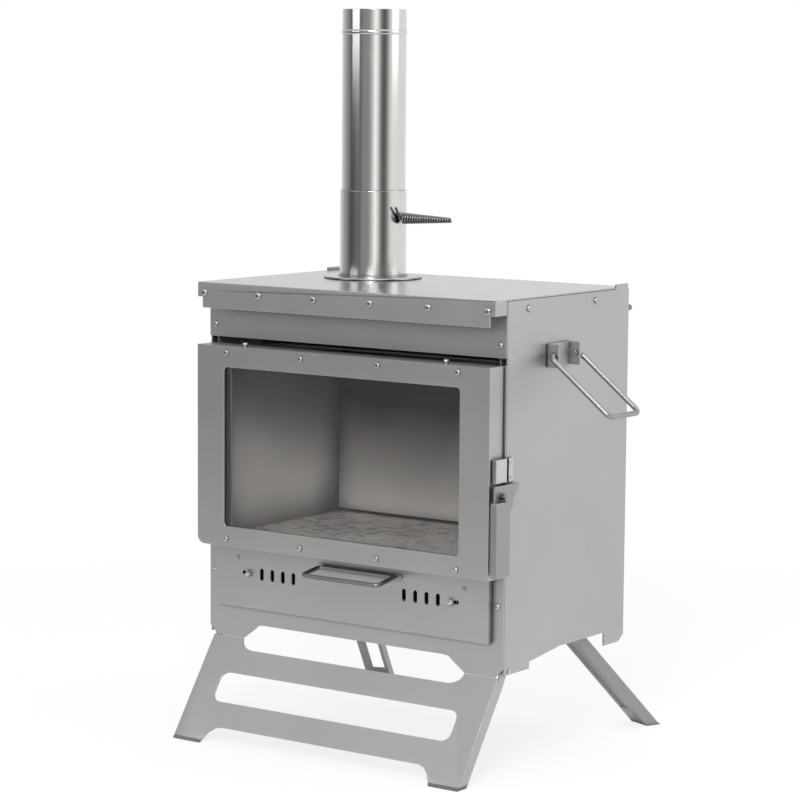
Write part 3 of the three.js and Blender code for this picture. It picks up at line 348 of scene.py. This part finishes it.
# dark wire steel; it also darkens the ends of the front leg's feet as painted contact shade
wireAndFootShadeLook = dict(satinLook, dark=(0.16, 0.16, 0.16), light=(0.26, 0.255, 0.25), wornAndHighlight=(0.50, 0.49, 0.48),
    roughness=0.3, stretch=(1.0, 1.0, 1.0), wave=0.0, edge=0.4)
leverLook = dict(satinLook, dark=(0.30, 0.30, 0.30), light=(0.38, 0.38, 0.38), roughness=0.4, wave=0.1)
innerLook = dict(satinLook, dark=(0.60, 0.59, 0.58), light=(0.78, 0.77, 0.76), roughness=0.34, cloud=0.16,
    creviceShade=0.95, reach=0.05, wave=0.2, edge=0.5, scuff=0.1, metal=0.5, sootAndShadeFrom=0.27, sootAndShadeTo=0.40,
    sootAndShade=(0.16, 0.15, 0.145))
# a lighter copy of the liner steel for the back wall: painted light on its lower part, and a darker top from
# soot and painted shade
backLitAndShadedLook = dict(innerLook, dark=(0.74, 0.72, 0.70), light=(0.88, 0.86, 0.84), reach=0.02, creviceShade=0.6,
    sootAndShadeFrom=0.20, sootAndShadeTo=0.31, sootAndShade=(0.035, 0.032, 0.03))
grateLook = dict(satinLook, dark=(0.42, 0.40, 0.39), light=(0.66, 0.64, 0.62), roughness=0.5, cloud=0.2,
    metal=0.4, reach=0.012, wave=0.3, scuff=0.12, ash=90.0)
# a darker copy of the satin steel: painted shade on the rear legs and their brackets, which stand in the
# shade under the body
rearLegShadeLook = dict(satinLook, dark=(0.28, 0.278, 0.275), light=(0.36, 0.358, 0.355), roughness=0.4)
# dark sooty steel for the baffle and the drawer tray: soot, and painted shade under the baffle and below the
# grate's holes
sootAndShadowLook = dict(satinLook, dark=(0.08, 0.075, 0.07), light=(0.20, 0.19, 0.18), roughness=0.62, cloud=0.25,
    wave=0.3, edge=0.5, scuff=0.12, metal=0.8)
satinSteel = steelFinish("satinSteel", satinLook)
lidSteel = steelFinish("lidSteel", lidLook)
flangeSteel = steelFinish("flangeSteel", flangeLook)
flueSteel = steelFinish("flueSteel", flueLook)
brightSteel = steelFinish("brightSteel", brightLook)
wireAndFootShadeSteel = steelFinish("wireAndFootShadeSteel", wireAndFootShadeLook)
leverSteel = steelFinish("leverSteel", leverLook)
innerSteel = steelFinish("innerSteel", innerLook)
backLitAndShadedSteel = steelFinish("backLitAndShadedSteel", backLitAndShadedLook)
grateSteel = steelFinish("grateSteel", grateLook)
rearLegShadeSteel = steelFinish("rearLegShadeSteel", rearLegShadeLook)
sootAndShadowSteel = steelFinish("sootAndShadowSteel", sootAndShadowLook)


def paneFinish(look):
    material, tree, shader, place = startMaterial("doorPane")
    film = noiseNode(tree, place, look["filmScale"], 5.0, 0.6)
    smear = mathNode(tree, "MULTIPLY", mathNode(tree, "SUBTRACT", film, 0.5), look["smear"], clamp=True)
    tree.links.new(mixColour(tree, film, look["dark"], look["light"]), shader.inputs["Base Color"])
    tree.links.new(mathNode(tree, "ADD", smear, look["roughness"]), shader.inputs["Roughness"])
    shader.inputs["Transmission Weight"].default_value = 1.0
    shader.inputs["IOR"].default_value = 1.45
    clear = tree.nodes.new("ShaderNodeBsdfTransparent")
    clear.inputs["Color"].default_value = (*look["shadow"], 1.0)
    path = tree.nodes.new("ShaderNodeLightPath")
    mix = tree.nodes.new("ShaderNodeMixShader")
    tree.links.new(path.outputs["Is Shadow Ray"], mix.inputs[0])
    tree.links.new(shader.outputs[0], mix.inputs[1])
    tree.links.new(clear.outputs[0], mix.inputs[2])
    tree.links.new(mix.outputs[0], tree.nodes["Material Output"].inputs["Surface"])
    return material


def gasketFinish(look):
    material, tree, shader, place = startMaterial("glassTape")
    weave = tree.nodes.new("ShaderNodeTexWave")
    weave.inputs["Scale"].default_value = look["weave"]
    weave.inputs["Distortion"].default_value = look["unevenness"]
    tree.links.new(place, weave.inputs["Vector"])
    woven = mixColour(tree, weave.outputs["Fac"], look["dark"], look["light"])
    tree.links.new(woven, shader.inputs["Base Color"])
    shader.inputs["Roughness"].default_value = look["roughness"]
    bump = tree.nodes.new("ShaderNodeBump")
    bump.inputs["Distance"].default_value = look["relief"]
    tree.links.new(weave.outputs["Fac"], bump.inputs["Height"])
    tree.links.new(bump.outputs["Normal"], shader.inputs["Normal"])
    return material


doorPane = paneFinish({"dark": (0.72, 0.71, 0.70), "light": (0.84, 0.83, 0.82), "shadow": (0.8, 0.8, 0.8),
    "roughness": 0.0, "smear": 0.02, "filmScale": 14.0})
glassTape = gasketFinish({"dark": (0.10, 0.095, 0.09), "light": (0.22, 0.21, 0.20), "weave": 420.0,
    "unevenness": 1.5, "roughness": 0.95, "relief": 0.0003})
print("finishes ready")


legEnds = {"hingeEdge": 93.4, "hingeFront": -104, "raise": 0.22, "footShadeTo": 3.2}


def raiseHingeAndShadeFeet(leg, values):
    # the leg's hinge edge closes up to the apron, and a cut line marks off the ends of its feet, which take
    # the dark wire steel as painted contact shade
    hinge = at(0, values["hingeFront"], values["hingeEdge"])
    footShadeTo = values["footShadeTo"] * 0.001
    pick(leg, "VERT", lambda v: v.co.z > hinge.z and v.co.y < hinge.y)
    bpy.ops.transform.translate(value=(0, 0, values["raise"] * 0.001))
    bpy.ops.mesh.select_all(action="SELECT")
    bpy.ops.mesh.bisect(plane_co=(0, 0, footShadeTo), plane_no=(0, 0, 1))
    leaveEdit()
    leg.data.materials.append(wireAndFootShadeSteel)
    for face in leg.data.polygons:
        face.material_index = 1 if face.center.z < footShadeTo else 0


# sheet pieces: a merged copy of each folded plate, with its edges rounded
sheetPieces = {
    "side_panel_left": (0, satinSteel, "satin_steel"),
    "side_panel_right": (0, satinSteel, "satin_steel"),
    "back_panel": (0.35, satinSteel, "satin_steel"),
    "floor_panel": (0.35, satinSteel, "satin_steel"),
    "front_frame": (0.35, satinSteel, "satin_steel"),
    "upper_front_panel": (0.3, satinSteel, "satin_steel"),
    "lid": (0.55, lidSteel, "polished_steel"),
    "door_frame": (0.6, satinSteel, "satin_steel"),
    "glass_retainer": (0.25, satinSteel, "satin_steel"),
    "hinge_tab_lower": (0.4, satinSteel, "satin_steel"),
    "hinge_tab_upper": (0.4, satinSteel, "satin_steel"),
    "drawer_front": (0, satinSteel, "satin_steel"),
    "drawer_tray": (0.3, sootAndShadowSteel, "inner_steel"),
    "front_leg": (0.35, satinSteel, "satin_steel"),
    "rear_leg_left": (0.35, rearLegShadeSteel, "satin_steel"),
    "rear_leg_right": (0.35, rearLegShadeSteel, "satin_steel"),
    "rear_bracket_left": (0.3, rearLegShadeSteel, "satin_steel"),
    "rear_bracket_right": (0.3, rearLegShadeSteel, "satin_steel"),
    "handle_bracket_left": (0.4, satinSteel, "satin_steel"),
    "handle_bracket_right": (0.4, satinSteel, "satin_steel"),
    "liner_left": (0.3, innerSteel, "inner_steel"),
    "liner_right": (0.3, innerSteel, "inner_steel"),
    "back_liner": (0.3, backLitAndShadedSteel, "inner_steel"),
    "grate": (0.35, grateSteel, "sooted_steel"),
    "baffle": (0.35, sootAndShadowSteel, "sooted_steel"),
    "air_shutter_left": (0.2, brightSteel, "polished_steel"),
    "air_shutter_right": (0.2, brightSteel, "polished_steel"),
    "latch_block": (0.6, brightSteel, "polished_steel"),
    "latch_keeper": (0.5, brightSteel, "polished_steel"),
    "latch_lever": (0.5, leverSteel, "dark_steel"),
}
for nodeName, (roundness, finish, slotName) in sheetPieces.items():
    soft = bpy.data.objects.new(nodeName + "Sheet", nodes[nodeName].data.copy())
    bpy.context.scene.collection.objects.link(soft)
    edit(soft)
    bpy.ops.mesh.select_all(action="SELECT")
    bpy.ops.mesh.remove_doubles(threshold=0.000002)
    if roundness:
        bpy.ops.mesh.dissolve_limited(angle_limit=math.radians(1.0))
    leaveEdit()
    if roundness:
        addBevel(soft, roundness)
    smoothBroad(soft)
    settle(soft, finish, bodyOfNode[nodeName], [nodeName])
    if nodeName == "lid":  # the lid's flange is duller than its top
        soft.data.materials.append(flangeSteel)
        for face in soft.data.polygons:
            face.material_index = 1 if abs(face.normal.z) < 0.6 else 0
    if nodeName == "front_leg":
        raiseHingeAndShadeFeet(soft, legEnds)
print("sheet pieces ready")


# turned pieces: the flue's pipe, sleeve and collar
def turnPiece(name, centre, profile, sides):
    # one ring is extruded and scaled along the profile, and meets its own start
    dropSelection()
    radius, height = profile[0]
    bpy.ops.mesh.primitive_circle_add(vertices=sides, radius=radius * 0.001,
        location=(centre.x, centre.y, height * 0.001))
    piece = bpy.context.object
    piece.name = name
    applyPlace(piece)
    edit(piece, "EDGE")
    bpy.ops.mesh.select_all(action="SELECT")
    for nextRadius, nextHeight in profile[1:] + [profile[0]]:
        bpy.ops.mesh.extrude_region_move(
            TRANSFORM_OT_translate={"value": (0, 0, (nextHeight - height) * 0.001)})
        scale = nextRadius / radius
        if abs(scale - 1) > 1e-6:
            bpy.ops.transform.resize(value=(scale, scale, 1),
                center_override=(centre.x, centre.y, nextHeight * 0.001))
        radius, height = nextRadius, nextHeight
    leaveEdit()
    closeUp(piece, 40)
    smoothBroad(piece, 40)
    return piece


flue = {"x": -78, "y": 31, "sides": 128, "edge": 0.3, "pipeOut": 31.9, "pipeIn": 30.9, "pipeFoot": 518.6,
    "pipeTop": 710.6, "beadAt": 688.1, "beadOut": 32.8, "beadHalf": 2.3, "beadSteps": 8, "sleeveOut": 33.2,
    "sleeveIn": 32.2, "sleeveFoot": 447.6, "sleeveTop": 532.6, "stopIn": 31.2, "stopFoot": 516.2,
    "stopTop": 518.3, "collarOut": 49, "collarIn": 31, "collarFoot": 445.3, "collarWall": 34.9,
    "collarBore": 33.55}
flueCentre = at(flue["x"], flue["y"], 0)
edge = flue["edge"]
pipeOut, pipeIn, pipeFoot, pipeTop = (flue[name] for name in ("pipeOut", "pipeIn", "pipeFoot", "pipeTop"))
pipeProfile = [(pipeIn, pipeFoot), (pipeOut - 0.2, pipeFoot), (pipeOut, pipeFoot + edge)]
for step in range(flue["beadSteps"] + 1):  # the swaged bead near the top
    turn = math.pi * step / flue["beadSteps"]
    pipeProfile.append((pipeOut + (flue["beadOut"] - pipeOut) * math.sin(turn),
        flue["beadAt"] - flue["beadHalf"] * math.cos(turn)))
pipeProfile += [(pipeOut, pipeTop - edge), (pipeOut - 0.25, pipeTop), (pipeIn + 0.2, pipeTop),
    (pipeIn, pipeTop - edge)]
pipe = turnPiece("fluePipeTube", flueCentre, pipeProfile, flue["sides"])
settle(pipe, flueSteel, "upper_flue", ["flue_pipe"])
sleeveOut, sleeveIn, sleeveTop = flue["sleeveOut"], flue["sleeveIn"], flue["sleeveTop"]
sleeveProfile = [(sleeveIn, flue["sleeveFoot"]), (sleeveOut, flue["sleeveFoot"]),
    (sleeveOut, sleeveTop - 0.4), (sleeveOut - edge, sleeveTop), (sleeveIn + 0.15, sleeveTop),
    (sleeveIn, sleeveTop - edge), (sleeveIn, flue["stopTop"]), (flue["stopIn"], flue["stopTop"] - 0.2),
    (flue["stopIn"], flue["stopFoot"] + 0.2), (sleeveIn, flue["stopFoot"])]
sleeve = turnPiece("flueSleeveTube", flueCentre, sleeveProfile, flue["sides"])
settle(sleeve, flueSteel, "lower_flue", ["flue_sleeve"])
foot, outer, wall, bore = (flue[name] for name in ("collarFoot", "collarOut", "collarWall", "collarBore"))
collarProfile = [(flue["collarIn"], foot), (outer - 0.4, foot), (outer, foot + 0.4),
    (outer - 0.1, foot + 1.3), (outer - 0.8, foot + 1.9), (wall + 0.5, foot + 2.0), (wall + 0.1, foot + 2.1),
    (wall, foot + 2.5), (wall, foot + 3.0), (wall - 0.2, foot + 3.2), (bore + 0.2, foot + 3.2),
    (bore, foot + 3.0), (bore, foot + 2.0), (flue["collarIn"], foot + 1.95)]
collar = turnPiece("flueCollarRing", flueCentre, collarProfile, flue["sides"])
settle(collar, lidSteel, "firebox", ["flue_collar"])
print("flue ready")


# wire pieces: a round section is extruded along straights and spun round corners
def wirePiece(name, points, radius, bend, sides=20, steps=8, closed=False):
    dropSelection()
    corners = [Vector(p) for p in points]
    direction = (corners[1] - corners[0]).normalized()
    bpy.ops.mesh.primitive_circle_add(vertices=sides, radius=radius * 0.001,
        fill_type="NOTHING" if closed else "NGON", location=corners[0],
        rotation=direction.to_track_quat("Z", "Y").to_euler())
    piece = bpy.context.object
    piece.name = name
    applyPlace(piece)
    edit(piece, "EDGE" if closed else "FACE")
    bpy.ops.mesh.select_all(action="SELECT")
    place = corners[0]
    for before, corner, after in zip(corners, corners[1:], corners[2:]):
        into = (corner - before).normalized()
        out = (after - corner).normalized()
        angle = into.angle(out)
        reach = bend * 0.001 * math.tan(angle / 2)
        start = corner - into * reach
        bpy.ops.mesh.extrude_region_move(TRANSFORM_OT_translate={"value": start - place})
        side = (out - into * out.dot(into)).normalized()
        bpy.ops.mesh.spin(steps=steps, angle=-angle, center=start + side * bend * 0.001,
            axis=into.cross(out).normalized())  # the spin turns clockwise for a positive angle
        place = corner + out * reach
    bpy.ops.mesh.extrude_region_move(TRANSFORM_OT_translate={"value": corners[-1] - place})
    leaveEdit()
    closeUp(piece, 50)
    addBevel(piece, radius * 0.2, 2, 60)
    faceOutwards(piece)
    makeActive(piece)
    bpy.ops.object.shade_smooth_by_angle(angle=math.radians(40))
    return piece


bail = {"pivotX": 183, "y": -20, "z": 389, "span": 52, "arm": 84, "stub": 10, "wire": 2.6, "bend": 7,
    "rightAngle": 38, "leftAngle": 88}
for side, sideName in ((-1, "left"), (1, "right")):
    angle = math.radians(bail[sideName + "Angle"])
    pivotX = side * bail["pivotX"]
    outX = pivotX + side * bail["arm"] * math.cos(angle)
    outZ = bail["z"] - bail["arm"] * math.sin(angle)
    near, far = bail["y"] - bail["span"] / 2, bail["y"] + bail["span"] / 2
    loop = wirePiece(sideName + "Bail", [
        at(pivotX, near + bail["stub"], bail["z"]), at(pivotX, near, bail["z"]), at(outX, near, outZ),
        at(outX, far, outZ), at(pivotX, far, bail["z"]), at(pivotX, far - bail["stub"], bail["z"])],
        bail["wire"], bail["bend"])
    settle(loop, leverSteel, sideName + "_handle", ["handle_bail_" + sideName])

pull = {"from": -31, "to": 58, "middle": 13.5, "z": 177.5, "drop": 4, "face": -111.8, "barAt": -115.3,
    "reach": 32, "wire": 2.1, "bend": 5, "footWidth": 12, "footHeight": 6.5, "footSheet": 1, "footSink": 0.8,
    "footEdge": 0.35, "footBand": 1.4}
frontBar = pull["face"] - pull["reach"]
pullLoop = wirePiece("pullLoop", [
    at(pull["middle"], pull["barAt"], pull["z"]), at(pull["from"], pull["barAt"], pull["z"]),
    at(pull["from"], frontBar, pull["z"] - pull["drop"]), at(pull["to"], frontBar, pull["z"] - pull["drop"]),
    at(pull["to"], pull["barAt"], pull["z"]), at(pull["middle"], pull["barAt"], pull["z"])],
    pull["wire"], pull["bend"], closed=True)
pullParts = [pullLoop]
for end in ("from", "to"):
    dropSelection()
    bpy.ops.mesh.primitive_cylinder_add(vertices=32, radius=pull["footHeight"] * 0.0005,
        depth=pull["footSheet"] * 0.001, location=at(pull[end], pull["face"] - pull["footSink"], pull["z"]),
        rotation=(math.pi / 2, 0, 0))
    foot = bpy.context.object
    foot.scale = (pull["footWidth"] / pull["footHeight"], 1, 1)
    applyPlace(foot)
    closeUp(foot)
    addBevel(foot, pull["footEdge"])
    pullParts.append(foot)
pullWhole = joinPieces(pullParts, "drawerPull")
makeActive(pullWhole)
bpy.ops.object.shade_smooth_by_angle(angle=math.radians(40))
settle(pullWhole, wireAndFootShadeSteel, "ash_drawer", ["drawer_pull"])
pullWhole.data.materials.append(satinSteel)
footFront = at(0, pull["face"] - pull["footBand"], 0).y
for face in pullWhole.data.polygons:
    face.material_index = 1 if face.center.y > footFront else 0
print("wire pieces ready")


# damper: disc, rod and the coiled handle
damper = {"x": -78, "y": 31, "z": 505.6, "radius": 30.6, "sheet": 1.5, "edge": 0.3, "rod": 2, "start": -114.2,
    "end": -26.6, "coilFrom": -41.8, "coilTo": 16.2, "coilRadius": 4.6, "coilEnd": 1.4, "coilWire": 1.3,
    "turns": 20, "steps": 14, "tailOut": 12, "tailUp": 11, "tailBendUp": 2.3, "tailSink": 0.5, "tailBend": 2}
dropSelection()
bpy.ops.mesh.primitive_cylinder_add(vertices=64, radius=damper["radius"] * 0.001,
    depth=damper["sheet"] * 0.001, location=at(damper["x"], damper["y"], damper["z"]),
    rotation=(math.pi / 2, 0, 0))
disc = bpy.context.object
applyPlace(disc)
closeUp(disc)
addBevel(disc, damper["edge"])
rodEnds = [at(damper[end], damper["y"], damper["z"]) for end in ("start", "end")]
rod = wirePiece("damperRod", rodEnds, damper["rod"], 1)
discAndRod = joinPieces([disc, rod], "damperDisc")
makeActive(discAndRod)
bpy.ops.object.shade_smooth_by_angle(angle=math.radians(40))
settle(discAndRod, brightSteel, "damper", ["damper_plate"])


def coilPiece(values):
    # a small section is spun a few degrees at a time round the rod, moved along it and drawn in
    dropSelection()
    axis = at(0, values["y"], values["z"])
    start = at(values["coilFrom"], values["y"] - values["coilRadius"], values["z"])
    bpy.ops.mesh.primitive_circle_add(vertices=10, radius=values["coilWire"] * 0.001,
        fill_type="NGON", location=start)
    piece = bpy.context.object
    applyPlace(piece)
    edit(piece, "FACE")
    bpy.ops.mesh.select_all(action="SELECT")
    count = values["turns"] * values["steps"]
    turn = 2 * math.pi / values["steps"]
    along = (values["coilTo"] - values["coilFrom"]) / count * 0.001
    inward = (values["coilRadius"] - values["coilEnd"]) / count * 0.001
    for index in range(count):
        bpy.ops.mesh.spin(steps=1, angle=turn, center=(0, axis.y, axis.z), axis=(1, 0, 0))
        heading = math.pi - turn * (index + 1)
        bpy.ops.transform.translate(value=(along, -inward * math.cos(heading), -inward * math.sin(heading)))
    leaveEdit()
    closeUp(piece, 50)
    return piece


coil = coilPiece(damper)
tail = wirePiece("damperTail", [
    at(damper["coilFrom"], damper["y"] - damper["tailOut"], damper["z"] + damper["tailUp"]),
    at(damper["coilFrom"], damper["y"] - damper["coilRadius"] - damper["coilWire"],
        damper["z"] + damper["tailBendUp"]),
    at(damper["coilFrom"], damper["y"] - damper["coilRadius"], damper["z"] - damper["tailSink"])],
    damper["coilWire"], damper["tailBend"])
handleWire = joinPieces([coil, tail], "damperCoil")
makeActive(handleWire)
bpy.ops.object.shade_smooth_by_angle(angle=math.radians(40))
settle(handleWire, wireAndFootShadeSteel, "damper", ["damper_handle"])
print("damper ready")


# domed heads: one is modelled, and each place gets its own copy
def headPiece(radius, height, recess):
    dropSelection()
    bpy.ops.mesh.primitive_cylinder_add(vertices=28, radius=radius * 0.001, depth=height * 0.001,
        location=(0, 0, height * 0.0005))
    head = bpy.context.object
    applyPlace(head)
    top = height * 0.001
    pick(head, "EDGE", lambda e: all(head.data.vertices[i].co.z > top - 1e-6 for i in e.vertices))
    bpy.ops.mesh.bevel(offset=min(height * 0.75, radius * 0.6) * 0.001, segments=4, profile=0.5)
    leaveEdit()
    if recess:
        pick(head, "FACE", lambda f: f.normal.z > 0.99 and f.center.z > top * 0.9)
        bpy.ops.mesh.inset(thickness=radius * 0.00012, use_even_offset=True)
        bpy.ops.mesh.extrude_region_move(TRANSFORM_OT_translate={"value": (0, 0, -height * 0.0003)})
        leaveEdit()
    closeUp(head, 40)
    return head


facing = {"front": Matrix.Rotation(math.radians(90), 4, "X"), "up": Matrix.Identity(4),
    "right": Matrix.Rotation(math.radians(90), 4, "Y"), "left": Matrix.Rotation(math.radians(-90), 4, "Y")}


def setHeads(name, spots, radius, height, recess, material, body, replaced=()):
    pattern = headPiece(radius, height, recess)
    copies = [copyTo(pattern, at(*spot), facing[way]) for spot, way in spots]
    bpy.data.objects.remove(pattern)
    heads = joinPieces(copies, name)
    makeActive(heads)
    bpy.ops.object.shade_smooth_by_angle(angle=math.radians(40))
    settle(heads, material, body, replaced)


lidRivets = [((step * 66.6, -125.0, 435), "front") for step in (-2.5, -1.5, -0.5, 0.5, 1.5, 2.5)]
setHeads("lidRivets", lidRivets, 3.3, 1.7, False, brightSteel, "firebox")
sideRivets = [((side * 175.0, back, 435), "right" if side > 0 else "left")
    for side in (-1, 1) for back in (-70, 46)]
setHeads("sideRivets", sideRivets, 3.3, 1.7, False, satinSteel, "firebox")
frameScrews = [((side * 168.0, -106.0, z), "front") for side in (-1, 1) for z in (161, 403)]
setHeads("frameScrews", frameScrews, 2.9, 1.5, True, brightSteel, "firebox")
doorScrews = [((step * 91.0, -129.0, z), "front") for step in (-1.5, -0.5, 0.5, 1.5) for z in (378, 195.5)]
setHeads("doorScrews", doorScrews, 2.8, 1.4, True, brightSteel, "door",
    ["door_screw_%d" % number for number in range(1, 9)])
topStuds = [((side * 118.5, -121.2, 384.6), "up") for side in (-1, 1)]
setHeads("doorTopStuds", topStuds, 2.7, 4.0, False, brightSteel, "door",
    ["door_top_stud_left", "door_top_stud_right"])
drawerRivets = [((side * 134.5, -111.8, 175), "front") for side in (-1, 1)]
setHeads("drawerRivets", drawerRivets, 2.0, 1.2, False, leverSteel, "ash_drawer")
print("heads ready")


# the rest keep their shape and get a finish
plainPieces = {
    "door_glass": (doorPane, "door_glass"),
    "window_gasket": (glassTape, "glass_tape"),
    "door_hinge_pin": (brightSteel, "polished_steel"),
    "latch_pin": (leverSteel, "dark_steel"),
    "rear_stud": (wireAndFootShadeSteel, "dark_steel"),
    "front_leg_pin_left": (brightSteel, "polished_steel"),
    "front_leg_pin_right": (brightSteel, "polished_steel"),
    "rear_pin_left": (brightSteel, "polished_steel"),
    "rear_pin_right": (brightSteel, "polished_steel"),
}
for nodeName, (finish, slotName) in plainPieces.items():
    nodes[nodeName].data.materials.clear()
    nodes[nodeName].data.materials.append(finish)
print("plain pieces ready")


# studio: floor, surroundings, lamps and camera
# heading 0 is behind the stove, 90 on its right, 180 in front: backdrop, soft boxes and dark room
studio = {"floorRadius": 1.4, "floorTone": 0.72, "floorLift": 0.16, "fadeFrom": 0.35, "fadeTo": 1.1,
    "nearWhite": 0.75, "overhead": 0.8, "overheadFrom": 0.17, "warmth": 0.985,
    "headings": [(-180, 0.36), (-168, 0.18), (-156, 0.19), (-144, 0.10), (-130, 0.09), (-115, 0.30),
        (-98, 0.46), (-76, 0.75), (-56, 0.95), (74, 1.06), (85, 0.86), (96, 0.30), (107, 0.10), (118, 0.24),
        (128, 0.84), (138, 1.45), (149, 0.74), (160, 0.34), (170, 0.32)]}


def floorFinish(values):
    material, tree, shader, place = startMaterial("paleFloor")
    speckle = noiseNode(tree, place, 160.0, 3.0, 0.6)
    tone = values["floorTone"]
    speckled = mixColour(tree, speckle, (tone - 0.01,) * 3, (tone + 0.01,) * 3)
    tree.links.new(speckled, shader.inputs["Base Color"])
    shader.inputs["Roughness"].default_value = 0.9
    shader.inputs["Specular IOR Level"].default_value = 0.1
    length = tree.nodes.new("ShaderNodeVectorMath")
    length.operation = "LENGTH"
    tree.links.new(place, length.inputs[0])
    span = values["fadeTo"] - values["fadeFrom"]
    beyond = mathNode(tree, "SUBTRACT", length.outputs["Value"], values["fadeFrom"])
    away = mathNode(tree, "DIVIDE", beyond, span, clamp=True)
    path = tree.nodes.new("ShaderNodeLightPath")
    near = mathNode(tree, "MULTIPLY", path.outputs["Is Camera Ray"], values["nearWhite"])
    whiteShare = mathNode(tree, "MAXIMUM", away, near)
    direct = mathNode(tree, "ADD", path.outputs["Is Camera Ray"], path.outputs["Is Transmission Ray"],
        clamp=True)
    seen = mathNode(tree, "ADD", direct, path.outputs["Is Glossy Ray"], clamp=True)
    white = tree.nodes.new("ShaderNodeEmission")
    lift = tree.nodes.new("ShaderNodeEmission")
    lift.inputs["Strength"].default_value = values["floorLift"]
    addUp = tree.nodes.new("ShaderNodeAddShader")
    tree.links.new(shader.outputs[0], addUp.inputs[0])
    tree.links.new(lift.outputs[0], addUp.inputs[1])
    whiten = tree.nodes.new("ShaderNodeMixShader")
    tree.links.new(whiteShare, whiten.inputs[0])
    tree.links.new(addUp.outputs[0], whiten.inputs[1])
    tree.links.new(white.outputs[0], whiten.inputs[2])
    choose = tree.nodes.new("ShaderNodeMixShader")
    tree.links.new(seen, choose.inputs[0])
    tree.links.new(shader.outputs[0], choose.inputs[1])
    tree.links.new(whiten.outputs[0], choose.inputs[2])
    tree.links.new(choose.outputs[0], tree.nodes["Material Output"].inputs["Surface"])
    return material


dropSelection()
bpy.ops.mesh.primitive_circle_add(vertices=96, radius=studio["floorRadius"], fill_type="NGON",
    location=(0, 0, 0))
floor = bpy.context.object
floor.name = "studioFloor"
floor.data.materials.append(floorFinish(studio))


def buildSurroundings(values):
    world = bpy.context.scene.world or bpy.data.worlds.new("studio")
    bpy.context.scene.world = world
    world.use_nodes = True
    tree = world.node_tree
    tree.nodes.clear()
    coordinate = tree.nodes.new("ShaderNodeTexCoord")
    parts = tree.nodes.new("ShaderNodeSeparateXYZ")
    tree.links.new(coordinate.outputs["Generated"], parts.inputs[0])
    heading = mathNode(tree, "ARCTAN2", parts.outputs["X"], parts.outputs["Y"])
    share = mathNode(tree, "MULTIPLY_ADD", heading, 1 / (2 * math.pi), 0.5)
    ramp = tree.nodes.new("ShaderNodeValToRGB")
    ramp.color_ramp.interpolation = "LINEAR"
    tree.links.new(share, ramp.inputs[0])
    elements = ramp.color_ramp.elements
    while len(elements) < len(values["headings"]):
        elements.new(0.5)
    for element, (angle, value) in zip(elements, values["headings"]):
        element.position = angle / 360 + 0.5
        element.color = (value, value, value * values["warmth"], 1)
    higher = mathNode(tree, "SUBTRACT", parts.outputs["Z"], values["overheadFrom"])
    above = mathNode(tree, "MULTIPLY", higher, 3.5, clamp=True)
    tone = mixColour(tree, above, ramp.outputs["Color"], (values["overhead"],) * 3)
    path = tree.nodes.new("ShaderNodeLightPath")
    seen = mathNode(tree, "ADD", path.outputs["Is Camera Ray"], path.outputs["Is Transmission Ray"],
        clamp=True)
    shown = mixColour(tree, seen, tone, (1.0, 1.0, 1.0))
    background = tree.nodes.new("ShaderNodeBackground")
    output = tree.nodes.new("ShaderNodeOutputWorld")
    tree.links.new(shown, background.inputs["Color"])
    tree.links.new(background.outputs[0], output.inputs["Surface"])


buildSurroundings(studio)


def addLamp(name, place, target, size, power):
    data = bpy.data.lights.new(name, "AREA")
    data.shape = "RECTANGLE"
    data.size, data.size_y = size
    data.energy = power
    lamp = bpy.data.objects.new(name, data)
    bpy.context.scene.collection.objects.link(lamp)
    lamp.location = place
    lamp.rotation_euler = (Vector(target) - Vector(place)).to_track_quat("-Z", "Y").to_euler()


softBoxes = {  # place and aim in metres, size in metres, power in watts
    "topSoftBox": ((0.2, 0.7, 2.5), (0, 0, 0.2), (2.0, 2.0), 11),
    "frontSoftBox": ((-1.7, -2.4, 1.0), (0, 0, 0.25), (1.6, 0.7), 5.5),
    "windowSoftBox": ((0.95, -2.0, 1.6), (0, 0, 0.25), (0.8, 0.8), 40),
    "rightSoftBox": ((2.2, 1.2, 1.3), (0, 0, 0.3), (1.4, 1.4), 7),
}
for name, settings in softBoxes.items():
    addLamp(name, *settings)

lensAndPlace = {"azimuth": 35.85, "elevation": 6.77, "roll": 0.45, "place": (1.5810, -2.2172, 0.6536),
    "lens": 126, "sensor": 36}
az = math.radians(lensAndPlace["azimuth"])
el = math.radians(lensAndPlace["elevation"])
roll = math.radians(lensAndPlace["roll"])
looking = Vector((-math.sin(az) * math.cos(el), math.cos(az) * math.cos(el), -math.sin(el)))
level = Vector((math.cos(az), math.sin(az), 0))
upward = level.cross(looking)
rightward = level * math.cos(roll) + upward * math.sin(roll)
upright = upward * math.cos(roll) - level * math.sin(roll)
cameraData = bpy.data.cameras.new("photoCamera")
cameraData.lens = lensAndPlace["lens"]
cameraData.sensor_width = lensAndPlace["sensor"]
cameraData.dof.use_dof = False
camera = bpy.data.objects.new("photoCamera", cameraData)
bpy.context.scene.collection.objects.link(camera)
turnTo = Matrix((rightward, upright, -looking)).transposed().to_4x4()
camera.matrix_world = Matrix.Translation(Vector(lensAndPlace["place"]) + firebox) @ turnTo
bpy.context.scene.camera = camera
bpy.context.scene.view_settings.view_transform = "Standard"
print("studio ready")
